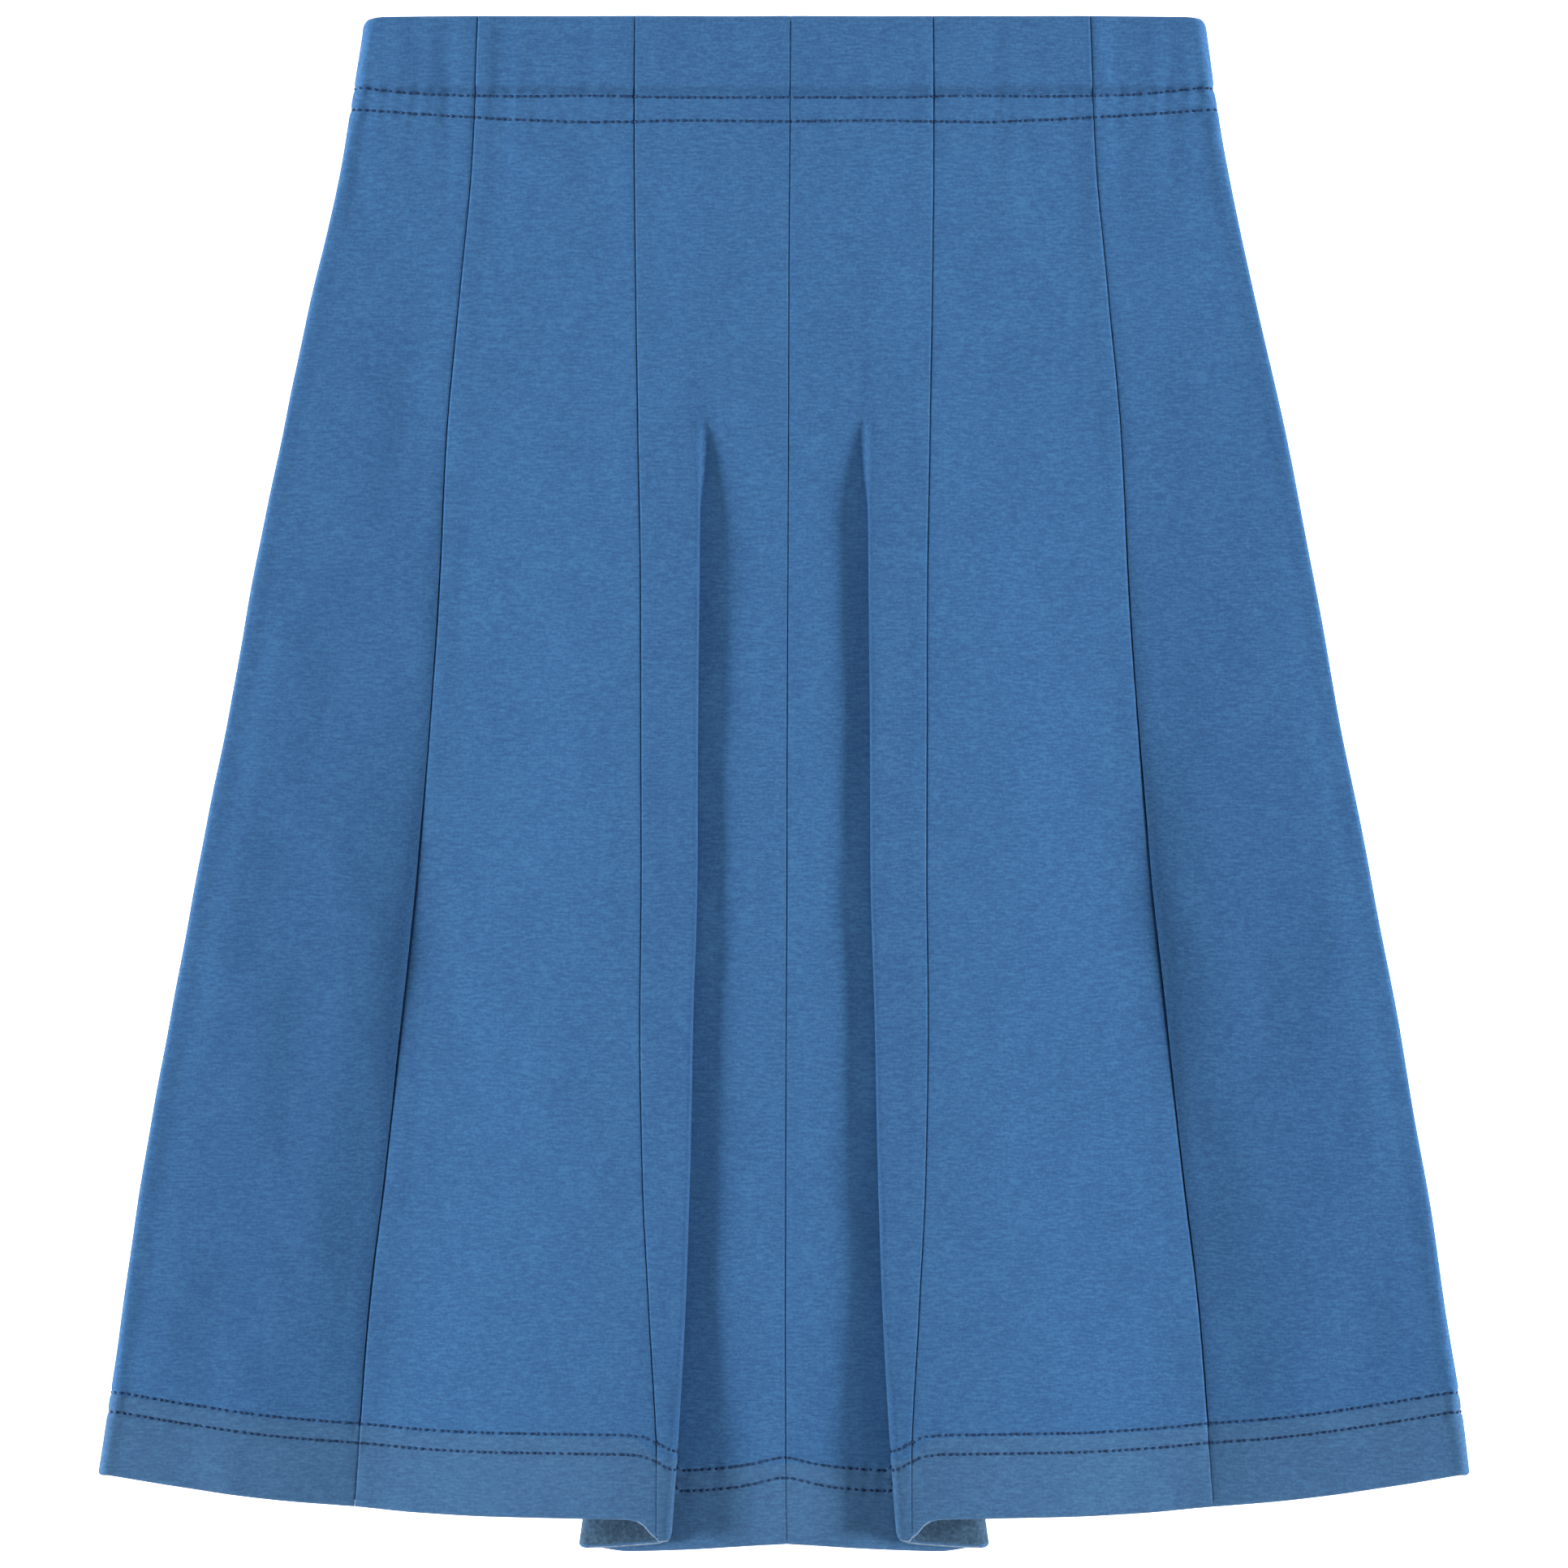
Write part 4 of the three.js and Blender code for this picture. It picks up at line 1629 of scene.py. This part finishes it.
@dataclass
class Studio:
    """The table, the soft lights above it and the camera that looks straight down.

    Each half of the skirt is lit from its own side by a low gridded softbox, as in the photograph,
    and a plain softbox overhead fills the shadows.
    """

    frame_width: float = 483.0
    lens: float = 120.0
    sensor: float = 36.0
    subject_height: float = 3.0
    table_size: float = 6.0
    table_drop: float = 0.45
    overhead_height: float = 2.4
    overhead_size: float = 1.5
    overhead_power: float = 2.6
    grid_elevation: float = 24.0
    grid_distance: float = 0.4
    grid_aim: float = 0.175
    grid_width: float = 1.1
    grid_depth: float = 0.2
    grid_spread: float = 24.0
    grid_power: float = 1.3
    sky: float = 0.17

    def softboxes(self) -> list[Softbox]:
        """Lays out the three lights.

        Returns:
            The softbox overhead, and the two with grids.
        """
        overhead = (0.0, 0.0, self.overhead_height)
        size = self.overhead_size
        lights = [Softbox("overhead_softbox", overhead, (0.0, 0.0, 0.0), size, size, self.overhead_power)]
        lean = math.radians(self.grid_elevation)
        for name, side in (("left_grid_softbox", -1), ("right_grid_softbox", 1)):
            aim = (side * self.grid_aim, 0.0, 0.0)
            back = side * self.grid_distance * math.cos(lean)
            place = (aim[0] + back, 0.0, self.grid_distance * math.sin(lean))
            lights.append(
                Softbox(name, place, aim, self.grid_width, self.grid_depth, self.grid_power, self.grid_spread)
            )
        return lights

    def build(self) -> None:
        """Makes the table, the lights and the camera."""
        self.table()
        for softbox in self.softboxes():
            softbox.build()
        world = bpy.data.worlds.new("studio_air")
        world.use_nodes = True
        background = world.node_tree.nodes["Background"]
        background.inputs["Color"].default_value = (1.0, 1.0, 1.0, 1.0)
        background.inputs["Strength"].default_value = self.sky
        scene = bpy.context.scene
        scene.world = world
        scene.view_settings.view_transform = "Standard"
        self.camera()

    def table(self) -> None:
        """Makes the table top just under the skirt."""
        half, low = self.table_size / 2, -self.table_drop * MM
        corners = [(-half, -half, low), (half, -half, low), (half, half, low), (-half, half, low)]
        mesh = bpy.data.meshes.new("table_top")
        mesh.from_pydata(corners, [], [(0, 1, 2, 3)])
        mesh.materials.append(PaleTable().make())
        table = bpy.data.objects.new("table_top", mesh)
        bpy.context.scene.collection.objects.link(table)

    def camera(self) -> None:
        """Makes the camera, whose frame holds the same stretch of table as the photograph."""
        data = bpy.data.cameras.new("overhead_camera")
        data.lens = self.lens
        data.sensor_width = self.sensor
        camera = bpy.data.objects.new("overhead_camera", data)
        distance = self.frame_width * self.lens / self.sensor + self.subject_height
        camera.location = (0.0, 0.0, distance * MM)
        bpy.context.scene.collection.objects.link(camera)
        bpy.context.scene.camera = camera


@dataclass
class Skirt:
    """The whole skirt: its twelve gores and its sewing."""

    shape: SkirtShape = field(default_factory=SkirtShape)
    relief: Relief = field(default_factory=Relief)

    def gores(self) -> list[Gore]:
        """Makes the gores, with the flat cut of what shows of each.

        Returns:
            The twelve gores.
        """
        made: list[Gore] = []
        for hand in Hand:
            front = (self.shape, self.relief, hand, Layer.FRONT)
            back = (self.shape, self.relief, hand, Layer.BACK)
            coarse = {"row_step": 3.0, "column_step": 2.5}
            centred = {"inner": "centre_seam", "outer": "inner_seam"}
            made += [
                CentreGore(*front, place="centre", cut=Cut(44, 65, 98, 472)),
                MiddleGore(*front, place="middle", cut=Cut(48, 67, 96, 467)),
                SideGore(*front, place="side", cut=Cut(37, 63, 81, 458)),
                FlatGore(*back, place="centre", cut=Cut(44, 56, 69, 463), **centred, **coarse),
                FlatGore(*back, place="middle", cut=Cut(48, 59, 71, 460), **coarse),
                SideGore(*back, place="side", cut=Cut(37, 58, 73, 456), **coarse),
            ]
        return made

    def finishes(self) -> dict[Finish, bpy.types.Material]:
        """Makes the materials of the cloth's face, its hem band painted paler as painted light, its wrong
        side partly darkened as painted shade, and its folded edge painted with a pale highlight.

        Returns:
            The material of each finish.
        """
        # The brushed face: a matt mid blue, with fine darker streaks along the courses.
        face = SweatJersey(
            name="brushed_sweat_jersey_face",
            deep="#2f5987",
            middle="#366393",
            light="#3f709f",
            roughness=0.92,
            sheen=0.18,
            sheen_tint="#a9c6e6",
            course=0.7,
            streak=3.0,
            crumb=0.85,
            mottle=9.0,
            relief=0.34,
        )
        # The hem band is painted a little paler and greyer than the face: a painted lighter tone for the
        # light that falls on it.
        hem = replace(
            face, name="brushed_sweat_jersey_pressed_hem", deep="#375c84", middle="#3e668f", light="#47729b"
        )
        # The looped wrong side is duller and greyer, with coarser grains, and is painted darker as painted
        # shade for the hollow under the pleat.
        wrong_side = SweatJersey(
            name="sweat_jersey_looped_wrong_side",
            deep="#30495f",
            middle="#3a566f",
            light="#486681",
            roughness=0.95,
            sheen=0.2,
            sheen_tint="#c3d2e2",
            course=1.3,
            streak=1.2,
            crumb=1.1,
            mottle=8.0,
            relief=0.45,
        )
        # The fold of the hem is painted pale: a painted highlight, a thin pale line where light catches the
        # fold.
        edge = replace(
            face,
            name="sweat_jersey_folded_edge",
            deep="#52708f",
            middle="#66829f",
            light="#7f97b0",
            sheen=0.3,
            sheen_tint="#d5e2f0",
            streak=1.6,
            crumb=0.8,
            mottle=6.0,
            relief=0.2,
        )
        made = {
            Finish.FACE: face,
            Finish.PAINTED_PALE_HEM_FACE: hem,
            Finish.WRONG_SIDE: wrong_side,
            Finish.FOLDED_EDGE: edge,
        }
        return {kind: finish.make() for kind, finish in made.items()}

    def build(self) -> None:
        """Makes every piece of the skirt."""
        gores = self.gores()
        finishes = self.finishes()
        pieces = {}
        for gore in gores:
            pieces[gore.name] = gore.build(finishes)
            log.info("%s: %d faces", gore.name, len(pieces[gore.name].data.polygons))
        thread = SewingThread().make()
        stitches = Sewing(self.shape, self.relief.twin).build(gores, thread)
        for layer, sewn in stitches.items():
            for piece in sewn:
                log.info("%s: %d faces", piece.name, len(piece.data.polygons))
            lies_on = [gore.name for gore in gores if gore.layer is Layer.BACK and layer is Layer.FRONT]
            for index, gore in enumerate(gore for gore in gores if gore.layer is layer):
                gore.declare(pieces[gore.name], lies_on or ["table_top"], sewn if index == 0 else [])


def main() -> None:
    logging.basicConfig(level=logging.INFO, format="%(name)s %(message)s")
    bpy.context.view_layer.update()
    Studio().build()
    Skirt().build()
    bpy.context.view_layer.update()


if __name__ == "__main__":
    main()
